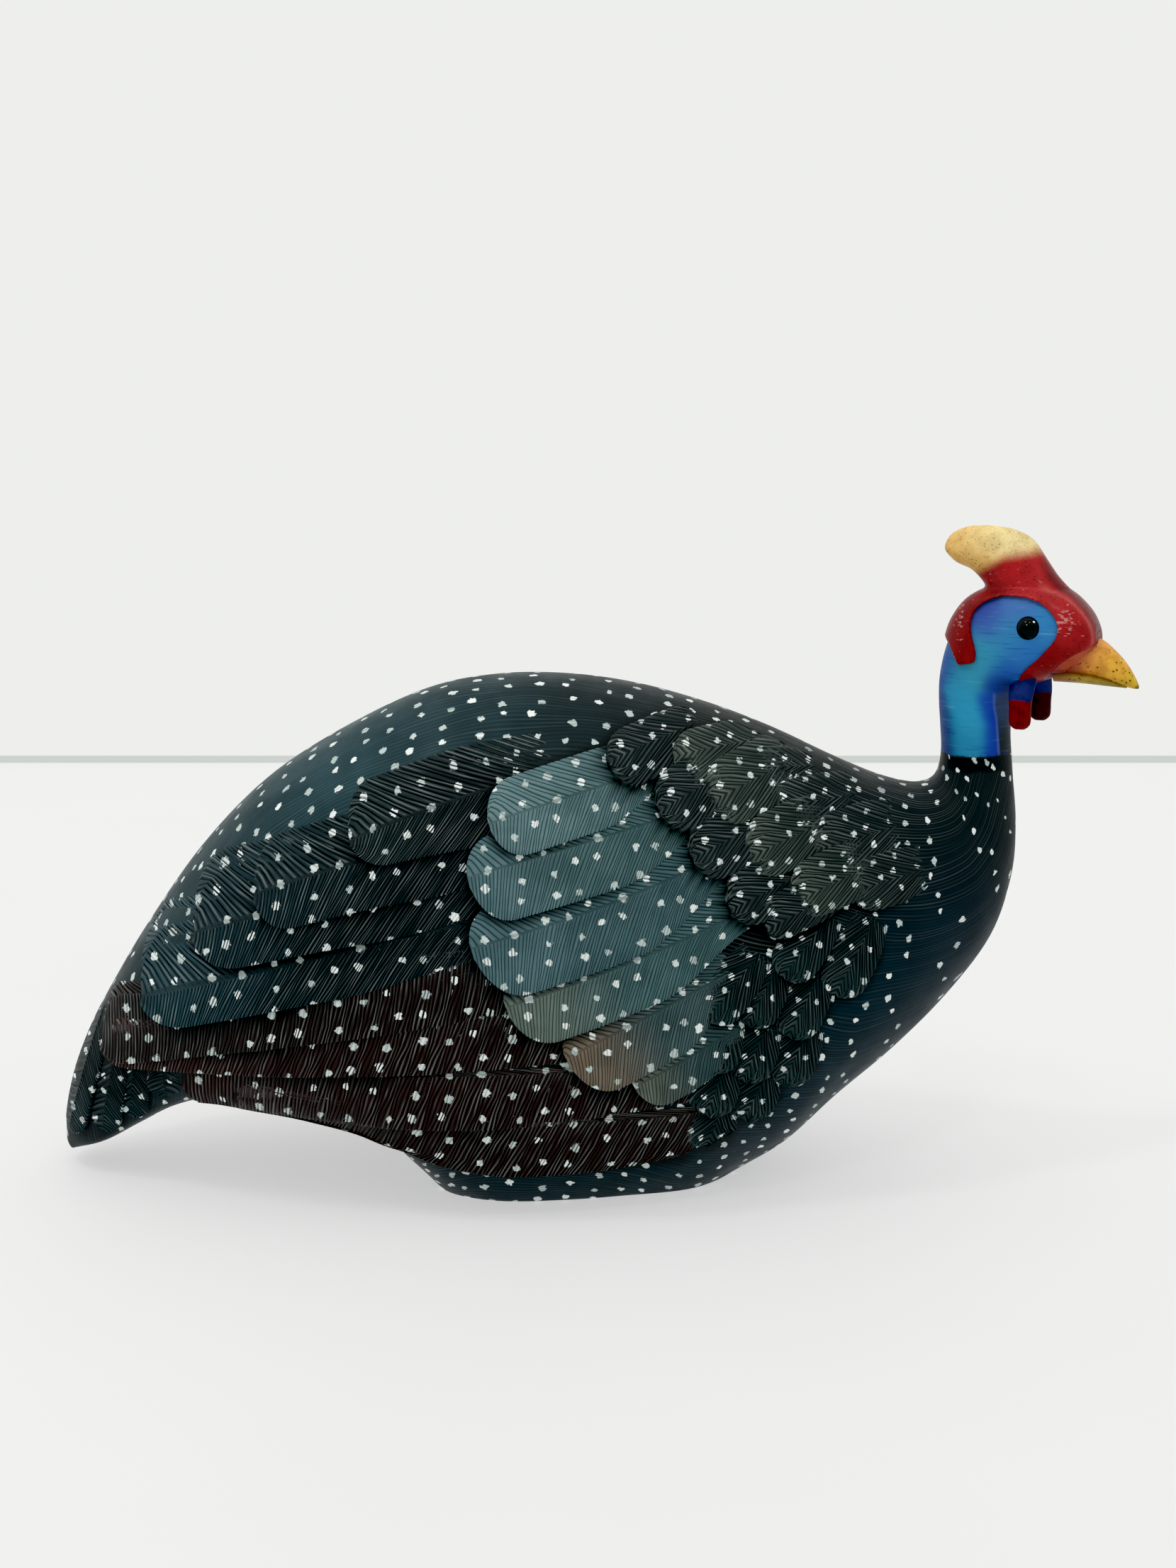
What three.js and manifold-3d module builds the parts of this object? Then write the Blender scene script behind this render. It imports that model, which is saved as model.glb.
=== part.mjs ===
// A carved and painted guineafowl that sits on its flat-cut belly. Bird, tail, head and comb are one
// solid piece of wood; the two domed glass eyes are set into sockets in the head.
// Millimetres, +Z up, +X towards the beak, origin at the middle of the flat underside.
import * as THREE from "three";
import { mergeVertices } from "three/addons/utils/BufferGeometryUtils.js";
import Module from "manifold-3d";

const wasm = await Module();
wasm.setup();

// Driving dimensions
const LENGTH = 328; // tail tip to beak tip
const WIDTH = 127; // across both folded wings
const HEAD_TURN = 22; // degrees that the head looks round to its right
const EYE_DIAMETER = 8;
const EYE_PROUD = 2; // how far the glass dome stands out of its socket
const EYE_GAP = 0.3; // between the glass and the wood
const FEATHER_RELIEF = 2.4; // how far a feather's tip stands above the one it lies on
const FEATHER_ROOT = 4; // how deep a feather's underside is sunk into the body
const COMB_RELIEF = 1.5; // how far the red comb stands above the face

// The carver's pattern is drawn on a grid: 328 squares long, and 127 squares across both wings.
const PATTERN_LENGTH = 328;
const PATTERN_WIDTH = 127;
const GRID = LENGTH / PATTERN_LENGTH;
const GRID_ACROSS = WIDTH / PATTERN_WIDTH;

// Sections through the bird, from the tail tip over the back and up the neck to the forehead. Each runs
// from a point on the upper outline to a point on the lower one, and says how wide the bird is there.
// top and foot: [x, z] on the pattern; half: half the width; widest: share of the way down where it is
// widest; lower: how square the section is below that (2 is an ellipse, as above it);
// edge: share of the way down where the wing's lower edge lies; overhang: how far it stands out there.
const SECTIONS = [
  { top: [-167.5, 8.5], foot: [-165, 4], half: 5, widest: 0.6, lower: 2.4, edge: 0.85, overhang: 0 },
  { top: [-167, 17], foot: [-153, 9], half: 15, widest: 0.72, lower: 3, edge: 0.85, overhang: 0 },
  { top: [-163.8, 31], foot: [-140.5, 16.5], half: 22, widest: 0.75, lower: 3.2, edge: 0.85, overhang: 0 },
  { top: [-158.4, 44.6], foot: [-128.5, 23], half: 28, widest: 0.72, lower: 3.2, edge: 0.85, overhang: 0 },
  { top: [-151, 58.3], foot: [-114.7, 26], half: 34, widest: 0.66, lower: 3, edge: 0.85, overhang: 1.5 },
  { top: [-139.9, 76.5], foot: [-98, 24], half: 41, widest: 0.62, lower: 2.8, edge: 0.88, overhang: 4 },
  { top: [-122.7, 100.7], foot: [-82, 20.5], half: 48, widest: 0.6, lower: 2.6, edge: 0.9, overhang: 6 },
  { top: [-102.6, 121.4], foot: [-66, 14], half: 52.5, widest: 0.58, lower: 2.5, edge: 0.89, overhang: 7 },
  { top: [-79.4, 136.8], foot: [-54, 2], half: 55, widest: 0.56, lower: 2.5, edge: 0.835, overhang: 7 },
  { top: [-53.2, 149.3], foot: [-43, -9], half: 56.5, widest: 0.55, lower: 2.5, edge: 0.815, overhang: 7 },
  { top: [-31.5, 153.8], foot: [-28, -14], half: 57, widest: 0.547, lower: 2.6, edge: 0.81, overhang: 7 },
  { top: [-9.9, 154], foot: [-10, -14], half: 56.5, widest: 0.55, lower: 2.5, edge: 0.81, overhang: 6.5 },
  { top: [11.8, 151], foot: [8, -13], half: 55, widest: 0.55, lower: 2.3, edge: 0.805, overhang: 5 },
  { top: [33.4, 145], foot: [26, -11], half: 52.5, widest: 0.56, lower: 2.1, edge: 0.79, overhang: 2 },
  { top: [53, 137.5], foot: [41.5, -2], half: 49, widest: 0.57, lower: 2, edge: 0.78, overhang: 0 },
  { top: [70.6, 129.2], foot: [57, 7.5], half: 44.5, widest: 0.57, lower: 2, edge: 0.78, overhang: 0 },
  { top: [84.8, 123.2], foot: [72.5, 22], half: 39, widest: 0.57, lower: 2, edge: 0.78, overhang: 0 },
  { top: [94.7, 120.6], foot: [90.3, 37], half: 32.5, widest: 0.56, lower: 2, edge: 0.78, overhang: 0 },
  { top: [100, 120.8], foot: [107.3, 54], half: 25.5, widest: 0.55, lower: 2, edge: 0.78, overhang: 0 },
  { top: [103, 122.6], foot: [121, 72.5], half: 19.5, widest: 0.53, lower: 2, edge: 0.78, overhang: 0 },
  { top: [104.4, 126.1], foot: [127.2, 91.5], half: 15, widest: 0.52, lower: 2, edge: 0.78, overhang: 0 },
  { top: [104.9, 131.1], foot: [128.2, 108], half: 12.3, widest: 0.5, lower: 2, edge: 0.78, overhang: 0 },
  { top: [104.5, 137.7], foot: [126.8, 124], half: 11.1, widest: 0.5, lower: 2, edge: 0.78, overhang: 0 },
  { top: [103.9, 145.4], foot: [125.8, 138.5], half: 10.8, widest: 0.5, lower: 2, edge: 0.78, overhang: 0 },
  { top: [103.8, 152], foot: [127.5, 148], half: 11, widest: 0.5, lower: 2, edge: 0.78, overhang: 0 },
  { top: [104.7, 158.5], foot: [132.5, 151.5], half: 11.6, widest: 0.5, lower: 2, edge: 0.78, overhang: 0 },
  { top: [106.3, 164.5], foot: [137.5, 153.5], half: 12.2, widest: 0.5, lower: 2, edge: 0.78, overhang: 0 },
  { top: [108.3, 170.5], foot: [141.5, 154.8], half: 12.5, widest: 0.5, lower: 2, edge: 0.78, overhang: 0 },
  { top: [112.8, 176.5], foot: [144.5, 155.8], half: 12.4, widest: 0.5, lower: 2, edge: 0.78, overhang: 0 },
  { top: [120, 180.3], foot: [147, 156.8], half: 12, widest: 0.5, lower: 2, edge: 0.78, overhang: 0 },
  { top: [128.5, 182.2], foot: [149, 158], half: 11.4, widest: 0.5, lower: 2, edge: 0.78, overhang: 0 },
  { top: [136.5, 182], foot: [150.3, 159.4], half: 10.6, widest: 0.5, lower: 2, edge: 0.78, overhang: 0 },
  { top: [143.5, 179.2], foot: [151.3, 161], half: 9.4, widest: 0.5, lower: 2, edge: 0.78, overhang: 0 },
  { top: [149, 174], foot: [152, 162.5], half: 7.2, widest: 0.5, lower: 2, edge: 0.78, overhang: 0 },
  { top: [151.7, 169], foot: [152.3, 164.5], half: 3.8, widest: 0.5, lower: 2, edge: 0.78, overhang: 0 },
];
const NECK = 22; // the station where the neck starts
const NECK_AXIS = 116; // x of the upright line that the head turns about
const HEAD_FROM = 90; // x that only the neck and head lie beyond
const TWIST_LOW = 138; // z where the neck's twist starts
const TWIST_HIGH = 152; // z where the head's full turn is reached
const EYE_AT = [132.7, 11.7, 169.6]; // the left eye's middle on the head's surface, before the turn
const POINTS_ABOVE_EDGE = 6; // points round half a section, above the wing's lower edge and below it
const POINTS_BELOW_EDGE = 3;
const WING_FROM = 0.45; // share of the way down to the wing's edge where the wing starts to stand out

// Shares of a feather: its lift at the root and along its upper edge, its width at the root, and where
// along it the full lift and width are reached and the round tip starts
const ROOT_LIFT = 0.15;
const UPPER_EDGE_LIFT = 0.35;
const FULL_LIFT_FROM = 0.8;
const ROOT_WIDTH = 0.72;
const FULL_WIDTH_FROM = 0.45;
const TIP_FROM = 0.65;

const smooth = (x) => {
  const c = Math.min(1, Math.max(0, x));
  return c * c * (3 - 2 * c);
};
const between = (a, b, t) => a + (b - a) * t;

// Catmull-Rom through four values
function curveThrough(a, b, c, d, t) {
  const t2 = t * t;
  const t3 = t2 * t;
  return 0.5 * (2 * b + (c - a) * t + (2 * a - 5 * b + 4 * c - d) * t2 + (3 * b - a - 3 * c + d) * t3);
}

// The section at u, where whole numbers are the listed ones
function sectionAt(u) {
  const last = SECTIONS.length - 1;
  const i = Math.min(last - 1, Math.max(0, Math.floor(u)));
  const four = [i - 1, i, i + 1, i + 2].map((k) => SECTIONS[Math.min(last, Math.max(0, k))]);
  const mix = (pick) => curveThrough(...four.map(pick), u - i);
  return {
    top: [GRID * mix((s) => s.top[0]), GRID * mix((s) => s.top[1])],
    foot: [GRID * mix((s) => s.foot[0]), GRID * mix((s) => s.foot[1])],
    half: (i < NECK ? GRID_ACROSS : GRID) * mix((s) => s.half),
    widest: mix((s) => s.widest),
    lower: mix((s) => s.lower),
    edge: mix((s) => s.edge),
    overhang: GRID_ACROSS * mix((s) => s.overhang),
  };
}

// Half the body's width at a share of the way down a section
function halfWidth(section, share) {
  const { half, widest, lower } = section;
  const [away, power] = share < widest ? [1 - share / widest, 2] : [(share - widest) / (1 - widest), lower];
  return half * Math.pow(Math.max(0, 1 - Math.pow(Math.min(1, away), power)), 1 / power);
}

// What the folded wing adds to that, growing towards its lower edge
function wingBulge(section, share) {
  return section.overhang * smooth((share / section.edge - WING_FROM) / (1 - WING_FROM));
}

// One ring of points round a section: down the left side and up the right
function ring(section) {
  const { widest, lower, edge } = section;
  const edgeAngle = Math.PI - Math.acos(Math.pow((edge - widest) / (1 - widest), lower / 2));
  const side = [];
  for (let k = 0; k <= POINTS_ABOVE_EDGE; k++) side.push([(edgeAngle * k) / POINTS_ABOVE_EDGE, true]);
  for (let k = 0; k <= POINTS_BELOW_EDGE; k++)
    side.push([edgeAngle + ((Math.PI - edgeAngle) * k) / POINTS_BELOW_EDGE, false]);
  const left = side.map(([angle, onWing]) => {
    const down = -Math.cos(angle);
    const share = down < 0
      ? widest * (1 + down)
      : widest + (1 - widest) * Math.pow(down, 2 / lower);
    const y = halfWidth(section, share) + (onWing ? wingBulge(section, share) : 0);
    return pointOn(section, share, y);
  });
  left[0].y = 0;
  left[left.length - 1].y = 0;
  const right = left.slice(1, -1).reverse().map((p) => new THREE.Vector3(p.x, -p.y, p.z));
  return [...left, ...right];
}

function pointOn({ top, foot }, share, y) {
  return new THREE.Vector3(between(top[0], foot[0], share), y, between(top[1], foot[1], share));
}

// A closed solid through rings of equal length, with a fan at each end
function loft(rings) {
  const n = rings[0].length;
  const points = rings.flat();
  const faces = [];
  for (let i = 0; i + 1 < rings.length; i++)
    for (let j = 0; j < n; j++) {
      const a = i * n + j;
      const b = i * n + ((j + 1) % n);
      faces.push([a, b, b + n], [a, b + n, a + n]);
    }
  for (const [first, turned] of [[0, true], [(rings.length - 1) * n, false]]) {
    const middle = rings[turned ? 0 : rings.length - 1].reduce((m, p) => m.add(p), new THREE.Vector3());
    points.push(middle.divideScalar(n));
    for (let j = 0; j < n; j++) {
      const pair = [first + j, first + ((j + 1) % n)];
      if (turned) pair.reverse();
      faces.push([...pair, points.length - 1]);
    }
  }
  return solid(points, faces);
}

// A manifold solid from points and triangles, turned right side out
function solid(points, faces) {
  const make = (list) =>
    new wasm.Manifold(
      new wasm.Mesh({
        numProp: 3,
        vertProperties: new Float32Array(points.flatMap((p) => [p.x, p.y, p.z])),
        triVerts: new Uint32Array(list.flat()),
      }),
    );
  const made = make(faces);
  return made.volume() > 0 ? made : make(faces.map(([a, b, c]) => [a, c, b]));
}

// Where a point of the side view lies on the body: its station, and its share of the way down
function locate(x, z) {
  let low = 0;
  let high = NECK;
  for (let k = 0; k < 24; k++) {
    const middle = (low + high) / 2;
    const { top, foot } = sectionAt(middle);
    const ahead = (x - top[0]) * (top[1] - foot[1]) - (z - top[1]) * (top[0] - foot[0]) > 0;
    if (ahead) low = middle;
    else high = middle;
  }
  const { top, foot } = sectionAt(low);
  const across = [foot[0] - top[0], foot[1] - top[1]];
  const share = ((x - top[0]) * across[0] + (z - top[1]) * across[1]) / (across[0] ** 2 + across[1] ** 2);
  return { station: low, share };
}

// The surface of the body's left half, or of the wing folded on it, and the way out of it
function surfaceAt(station, share) {
  const at = (u, s) => {
    const section = sectionAt(u);
    return pointOn(section, s, halfWidth(section, s) + wingBulge(section, Math.min(s, section.edge)));
  };
  const s = Math.min(sectionAt(station).edge + 0.02, Math.max(0.015, share));
  const along = at(station + 0.2, s).sub(at(station - 0.2, s));
  const down = at(station, s + 0.01).sub(at(station, s - 0.01));
  return { point: at(station, s), out: along.cross(down).normalize() };
}

// A carved feather: a plate that lies on one side (1 left, -1 right), thickest at its tip and lower edge.
// root and tip are [x, z]; bend is how far its shaft bows up; above and below are its half widths;
// level is how far the whole of it stands above the body.
function feather({ root, tip, bend = 0, above, below, along = 6, across = 2, level = 0, side = 1 }) {
  const from = new THREE.Vector2(...root).multiplyScalar(GRID);
  const to = new THREE.Vector2(...tip).multiplyScalar(GRID);
  const line = to.clone().sub(from);
  const up = new THREE.Vector2(-line.y, line.x).normalize();
  if (up.y < 0) up.negate();
  const tops = [];
  const undersides = [];
  for (let i = 0; i <= along; i++) {
    const s = i / along;
    const shaft = from.clone().addScaledVector(line, s).addScaledVector(up, 4 * bend * GRID * s * (1 - s));
    const width = GRID * outline(s);
    for (let j = 0; j <= across; j++) {
      const t = (2 * j) / across - 1;
      const place = shaft.clone().addScaledVector(up, -t * width * (t < 0 ? above : below));
      const { station, share } = locate(place.x, place.y);
      const { point, out } = surfaceAt(station, share);
      const full = level + FEATHER_RELIEF * between(UPPER_EDGE_LIFT, 1, j / across);
      const lift = full * between(ROOT_LIFT, 1, smooth(s / FULL_LIFT_FROM));
      const onSide = (p) => p.setY(side * p.y);
      tops.push(onSide(point.clone().addScaledVector(out, lift)));
      undersides.push(onSide(point.clone().addScaledVector(out, -FEATHER_ROOT)));
    }
  }
  return plate(tops, undersides, along, across);
}

// Half a feather's width along it, as a share: from its root, to full width, to a round tip
function outline(s) {
  const root = between(ROOT_WIDTH, 1, smooth(s / FULL_WIDTH_FROM));
  const end = Math.max(0, (s - TIP_FROM) / (1 - TIP_FROM));
  return root * Math.sqrt(Math.max(0.04, 1 - end ** 2.2));
}

// A closed solid between two grids of points
function plate(tops, undersides, along, across) {
  const n = across + 1;
  const count = tops.length;
  const faces = [];
  const quad = (a, b, c, d) => faces.push([a, b, c], [a, c, d]);
  for (let i = 0; i < along; i++)
    for (let j = 0; j < across; j++) {
      const a = i * n + j;
      quad(a, a + 1, a + n + 1, a + n);
      quad(count + a, count + a + n, count + a + n + 1, count + a + 1);
    }
  for (let i = 0; i < along; i++) {
    const a = i * n;
    const b = a + across;
    quad(a, a + n, count + a + n, count + a);
    quad(b + n, b, count + b, count + b + n);
  }
  for (let j = 0; j < across; j++) {
    const a = j;
    const b = along * n + j;
    quad(a + 1, a, count + a, count + a + 1);
    quad(b, b + 1, count + b + 1, count + b);
  }
  return solid([...tops, ...undersides], faces);
}

// Evenly spaced feathers whose roots and tips lie on two smooth lines of the side view.
// above, below and bend run evenly from the first feather's value to the last one's.
function tract({ roots, tips, count, above, below, bend = [0, 0], ...rest }) {
  const line = (points) => new THREE.SplineCurve(points.map((p) => new THREE.Vector2(...p)));
  const [rootLine, tipLine] = [line(roots), line(tips)];
  return Array.from({ length: count }, (_, k) => {
    const t = count > 1 ? k / (count - 1) : 0;
    const mix = ([a, b]) => between(a, b, t);
    const [root, tip] = [rootLine.getPoint(t).toArray(), tipLine.getPoint(t).toArray()];
    const shape = { root, tip, above: mix(above), below: mix(below), bend: mix(bend), ...rest };
    return [feather(shape), feather({ ...shape, side: -1 })];
  }).flat();
}

// The plumage, each tract on both sides
const PLUMAGE = [
  // long wing feathers
  {
    roots: [[-22, 132], [-30, 124], [-32, 118]],
    tips: [[-71, 108], [-101, 89], [-119, 74.5], [-136, 58]],
    count: 4, above: [11, 18], below: [9, 21], bend: [4, 6], along: 7,
  },
  // dark feathers along the wing's lower edge
  {
    roots: [[-22, 91], [-3.4, 69], [23, 47], [29, 29]],
    tips: [[-150, 44], [-139, 40], [-122, 37], [-108, 35.5]],
    count: 4, above: [20, 8], below: [11, 7], bend: [8, -3], along: 8,
  },
  // coverts, fanned over the roots of the long feathers
  {
    roots: [[16, 128], [32, 110], [36, 88], [31.6, 59]],
    tips: [[-32, 113], [-37, 88], [-24, 66], [12, 38]],
    count: 6, above: [12, 9], below: [13, 9], bend: [2, 3], along: 5, level: 1.3,
  },
  // mantle
  {
    roots: [[38, 140], [52, 124], [68, 97]],
    tips: [[3.5, 131], [26.7, 108.5], [46.8, 86]],
    count: 5, above: [9, 7.5], below: [9, 7.5], along: 4, level: 1.3,
  },
  {
    roots: [[54, 137], [66, 124], [80, 101]],
    tips: [[21, 131], [39.5, 111], [58.7, 92]],
    count: 4, above: [9, 7.5], below: [9, 7.5], along: 4, level: 1,
  },
  // side of the breast, in rows down the front of the wing
  {
    roots: [[66, 88], [46, 76], [36, 58]],
    tips: [[52, 72], [33, 60], [28, 45]],
    count: 3, above: [6, 6], below: [6, 6], along: 3, across: 1,
  },
  {
    roots: [[80, 86], [64, 72], [50, 56], [38, 40]],
    tips: [[69, 66], [55, 55], [42, 41], [32, 27]],
    count: 4, above: [6, 6], below: [6, 6], along: 3, across: 1,
  },
];

// The red comb stands above the face: a thicker skin over the head, cut to this outline of the side view
function comb() {
  const shape = new THREE.Shape();
  shape.moveTo(98, 200);
  shape.lineTo(98, 170);
  shape.lineTo(107.8, 163.9);
  shape.lineTo(111.7, 157.7);
  shape.lineTo(117, 158.7);
  const face = [
    [117.3, 162], [115, 170], [117.1, 175.6], [124, 178.6], [133.5, 178.1],
    [140.1, 173.8], [141.3, 168], [137.4, 162.4], [132, 156.6], [131, 154.2],
  ];
  shape.splineThru(face.map((p) => new THREE.Vector2(...p)));
  shape.lineTo(133, 151);
  shape.splineThru([[137.6, 155.1], [144.5, 161], [153.7, 165.6]].map((p) => new THREE.Vector2(...p)));
  shape.lineTo(165, 172);
  shape.lineTo(165, 200);
  const thickness = 40;
  const slab = new THREE.ExtrudeGeometry(shape, { depth: thickness, bevelEnabled: false, curveSegments: 1 });
  slab.translate(0, 0, -thickness / 2).rotateX(Math.PI / 2).scale(GRID, 1, GRID);
  const skin = [];
  for (let u = NECK + 2; u < SECTIONS.length; u++) {
    const section = sectionAt(u);
    const { top, foot } = section;
    const rise = COMB_RELIEF / Math.hypot(top[0] - foot[0], top[1] - foot[1]);
    section.top = [top[0] + (top[0] - foot[0]) * rise, top[1] + (top[1] - foot[1]) * rise];
    section.half += COMB_RELIEF;
    skin.push(ring(section));
  }
  return loft(skin).intersect(solidOf(slab));
}

// The casque and the beak: stations of [top x, top z, foot x, foot z, half width]
const CASQUE = [
  [104.2, 193, 104.7, 190.8, 1.8], [106.3, 196.6, 108, 187.8, 3.8], [111.5, 198.9, 113, 185.6, 5],
  [118, 199.3, 117.3, 181, 5.6], [125.5, 198.3, 120, 175, 6.2], [131.2, 195.4, 127, 173, 6.8],
  [135.4, 189.6, 134, 172, 7.2], [138.8, 184.8, 139, 170, 7], [143, 180.6, 144, 170, 5],
];
const UPPER_BEAK = [
  [145, 168.5, 143, 154.5, 7], [152.5, 166.2, 149.4, 155, 6.3], [156.7, 163.1, 154, 154.2, 5],
  [160.4, 159.2, 158.5, 152.8, 3.6], [163, 155.2, 162.2, 151.9, 2], [164.2, 152.6, 164, 151.8, 0.8],
];
const LOWER_BEAK = [
  [140, 157, 139.4, 153, 6.4], [147.5, 156.5, 147, 152.8, 5.4], [154.6, 155, 154.4, 152.3, 3.9],
  [160.4, 153, 160.6, 151.9, 1.6],
];

// A smooth horn through such stations, oval in section
function horn(stations, around = 10) {
  const curve = (pick) => {
    const points = stations.map((s, k) => new THREE.Vector3(s[pick], s[pick + 1] ?? 0, k));
    return new THREE.CatmullRomCurve3(points, false, "catmullrom", 0.5);
  };
  const [tops, feet, halves] = [curve(0), curve(2), curve(4)];
  const rings = [];
  const count = stations.length - 1;
  for (let k = 0; k <= count; k++) {
    const [top, foot, half] = [tops, feet, halves].map((c) => c.getPoint(k / count));
    const oval = Array.from({ length: around }, (_, j) => {
      const angle = (2 * Math.PI * j) / around;
      const down = (1 - Math.cos(angle)) / 2;
      const y = half.x * Math.sin(angle);
      return pointOn({ top: top.toArray(), foot: foot.toArray() }, down, y).multiplyScalar(GRID);
    });
    rings.push(oval);
  }
  return loft(rings);
}

// A flat lobe that hangs from the jaw: heights with half length and half thickness
const WATTLE = [
  [156, 4.2, 2.4], [151, 3.8, 2], [146, 3.4, 1.8], [141.5, 3.3, 1.7], [140, 2.6, 1.3], [139.2, 1.5, 0.7],
];
function wattle(x, y, around = 8) {
  const rings = WATTLE.map(([z, length, thick]) =>
    Array.from({ length: around }, (_, j) => {
      const angle = (2 * Math.PI * j) / around;
      const p = new THREE.Vector3(x + length * Math.cos(angle), y + thick * Math.sin(angle), z);
      return turned(p.multiplyScalar(GRID), 1);
    }),
  );
  return loft(rings);
}

// How much of the head's turn a point takes: none low on the neck, all of it from the jaw up
function twist(p) {
  return p.x < HEAD_FROM * GRID ? 0 : smooth((p.z / GRID - TWIST_LOW) / (TWIST_HIGH - TWIST_LOW));
}

// The head looks round to its right, about the neck's own axis
function turned(p, share = twist(p)) {
  const axis = new THREE.Vector3(NECK_AXIS * GRID, 0, 0);
  const turn = THREE.MathUtils.degToRad(-HEAD_TURN * share);
  return p.clone().sub(axis).applyAxisAngle(new THREE.Vector3(0, 0, 1), turn).add(axis);
}

function turnedSolid(made) {
  const { vertProperties, triVerts } = made.getMesh();
  for (let i = 0; i < vertProperties.length; i += 3)
    turned(new THREE.Vector3().fromArray(vertProperties, i)).toArray(vertProperties, i);
  return new wasm.Manifold(new wasm.Mesh({ numProp: 3, vertProperties, triVerts }));
}

// A three.js geometry as a manifold solid
function solidOf(geometry) {
  const bare = geometry.clone().deleteAttribute("normal").deleteAttribute("uv");
  const merged = mergeVertices(bare, 1e-3);
  const vertProperties = merged.attributes.position.array;
  const triVerts = new Uint32Array(merged.index.array);
  return new wasm.Manifold(new wasm.Mesh({ numProp: 3, vertProperties, triVerts }));
}

// The middle of a glass eye, sunk in the side of the head
function eyeMiddle(side) {
  const depth = EYE_DIAMETER / 2 - EYE_PROUD;
  return turned(new THREE.Vector3(EYE_AT[0] * GRID, side * (EYE_AT[1] * GRID - depth), EYE_AT[2] * GRID));
}

const ball = (radius) => new THREE.SphereGeometry(radius, 12, 8);

// All that is carved, with the belly cut off flat where it stands and the eye sockets cut out
function bird() {
  const body = loft(SECTIONS.map((_, u) => ring(sectionAt(u))));
  const horns = [CASQUE, UPPER_BEAK, LOWER_BEAK].map((stations) => horn(stations));
  const straight = [body, ...PLUMAGE.flatMap(tract), comb(), ...horns];
  const wattles = [wattle(130.9, -10.2), wattle(132.6, 10.8)];
  const carved = wasm.Manifold.union([turnedSolid(wasm.Manifold.union(straight)), ...wattles]);
  const below = new THREE.BoxGeometry(2 * LENGTH, 2 * WIDTH, LENGTH).translate(0, 0, -LENGTH / 2);
  const sockets = [-1, 1].map((side) => {
    const { x, y, z } = eyeMiddle(side);
    return solidOf(ball(EYE_DIAMETER / 2 + EYE_GAP).translate(x, y, z));
  });
  return carved.subtract(wasm.Manifold.union([solidOf(below), ...sockets]));
}

function meshOf(made, name, material) {
  const { vertProperties, triVerts } = made.getMesh();
  const geometry = new THREE.BufferGeometry();
  geometry.setAttribute("position", new THREE.BufferAttribute(vertProperties, 3));
  geometry.setIndex(new THREE.BufferAttribute(triVerts, 1));
  geometry.computeVertexNormals();
  const mesh = new THREE.Mesh(geometry, material);
  mesh.name = name;
  return mesh;
}

const paintedWood = new THREE.MeshStandardMaterial({ color: 0x1f3238, roughness: 0.5, metalness: 0 });
const blackGlass = new THREE.MeshStandardMaterial({ color: 0x050505, roughness: 0.05, metalness: 0 });

const figurine = new THREE.Group();
figurine.add(meshOf(bird(), "bird", paintedWood));
for (const [name, side] of [["eye_left", 1], ["eye_right", -1]]) {
  const eye = new THREE.Mesh(ball(EYE_DIAMETER / 2), blackGlass);
  eye.name = name;
  eye.position.copy(eyeMiddle(side));
  figurine.add(eye);
}
export default figurine;
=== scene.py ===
import math
from functools import partial

import bmesh
import bpy
import numpy as np
from mathutils import Matrix


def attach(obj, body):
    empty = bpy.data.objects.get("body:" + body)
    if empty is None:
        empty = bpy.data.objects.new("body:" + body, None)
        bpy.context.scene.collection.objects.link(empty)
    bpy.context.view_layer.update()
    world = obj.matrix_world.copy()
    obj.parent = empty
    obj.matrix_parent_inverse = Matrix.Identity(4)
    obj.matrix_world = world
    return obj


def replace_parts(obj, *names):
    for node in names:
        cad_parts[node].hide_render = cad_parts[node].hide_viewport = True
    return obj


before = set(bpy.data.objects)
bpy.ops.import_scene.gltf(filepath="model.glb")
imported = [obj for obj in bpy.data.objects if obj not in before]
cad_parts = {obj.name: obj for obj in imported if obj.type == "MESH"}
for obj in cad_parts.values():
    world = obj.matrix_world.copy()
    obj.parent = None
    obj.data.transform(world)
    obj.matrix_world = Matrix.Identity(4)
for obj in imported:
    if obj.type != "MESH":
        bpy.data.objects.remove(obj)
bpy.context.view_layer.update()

# ---------------- the carved body
# The bird is one block of close-grained hardwood, carved, sanded, painted with acrylics and
# finished with a satin varnish. Its body, tail, neck and face are one smooth form, swept
# through upright sections from the tail's tip over the back and up the neck to the forehead.
MM = 0.001
HEAD_TURN = 22  # degrees, to the bird's right
NECK_AXIS = 116  # x of the upright axis that the head turns about
HEAD_FROM = 90  # what lies ahead of this x belongs to the neck and the head
TWIST_LOW, TWIST_HIGH = 138, 152  # the heights between which the neck twists
LAST_FEATHERED = 22  # the section up to which feathers are carved
WING_FROM = 0.45  # the folded wing swells from this share of the way down to its edge
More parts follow.
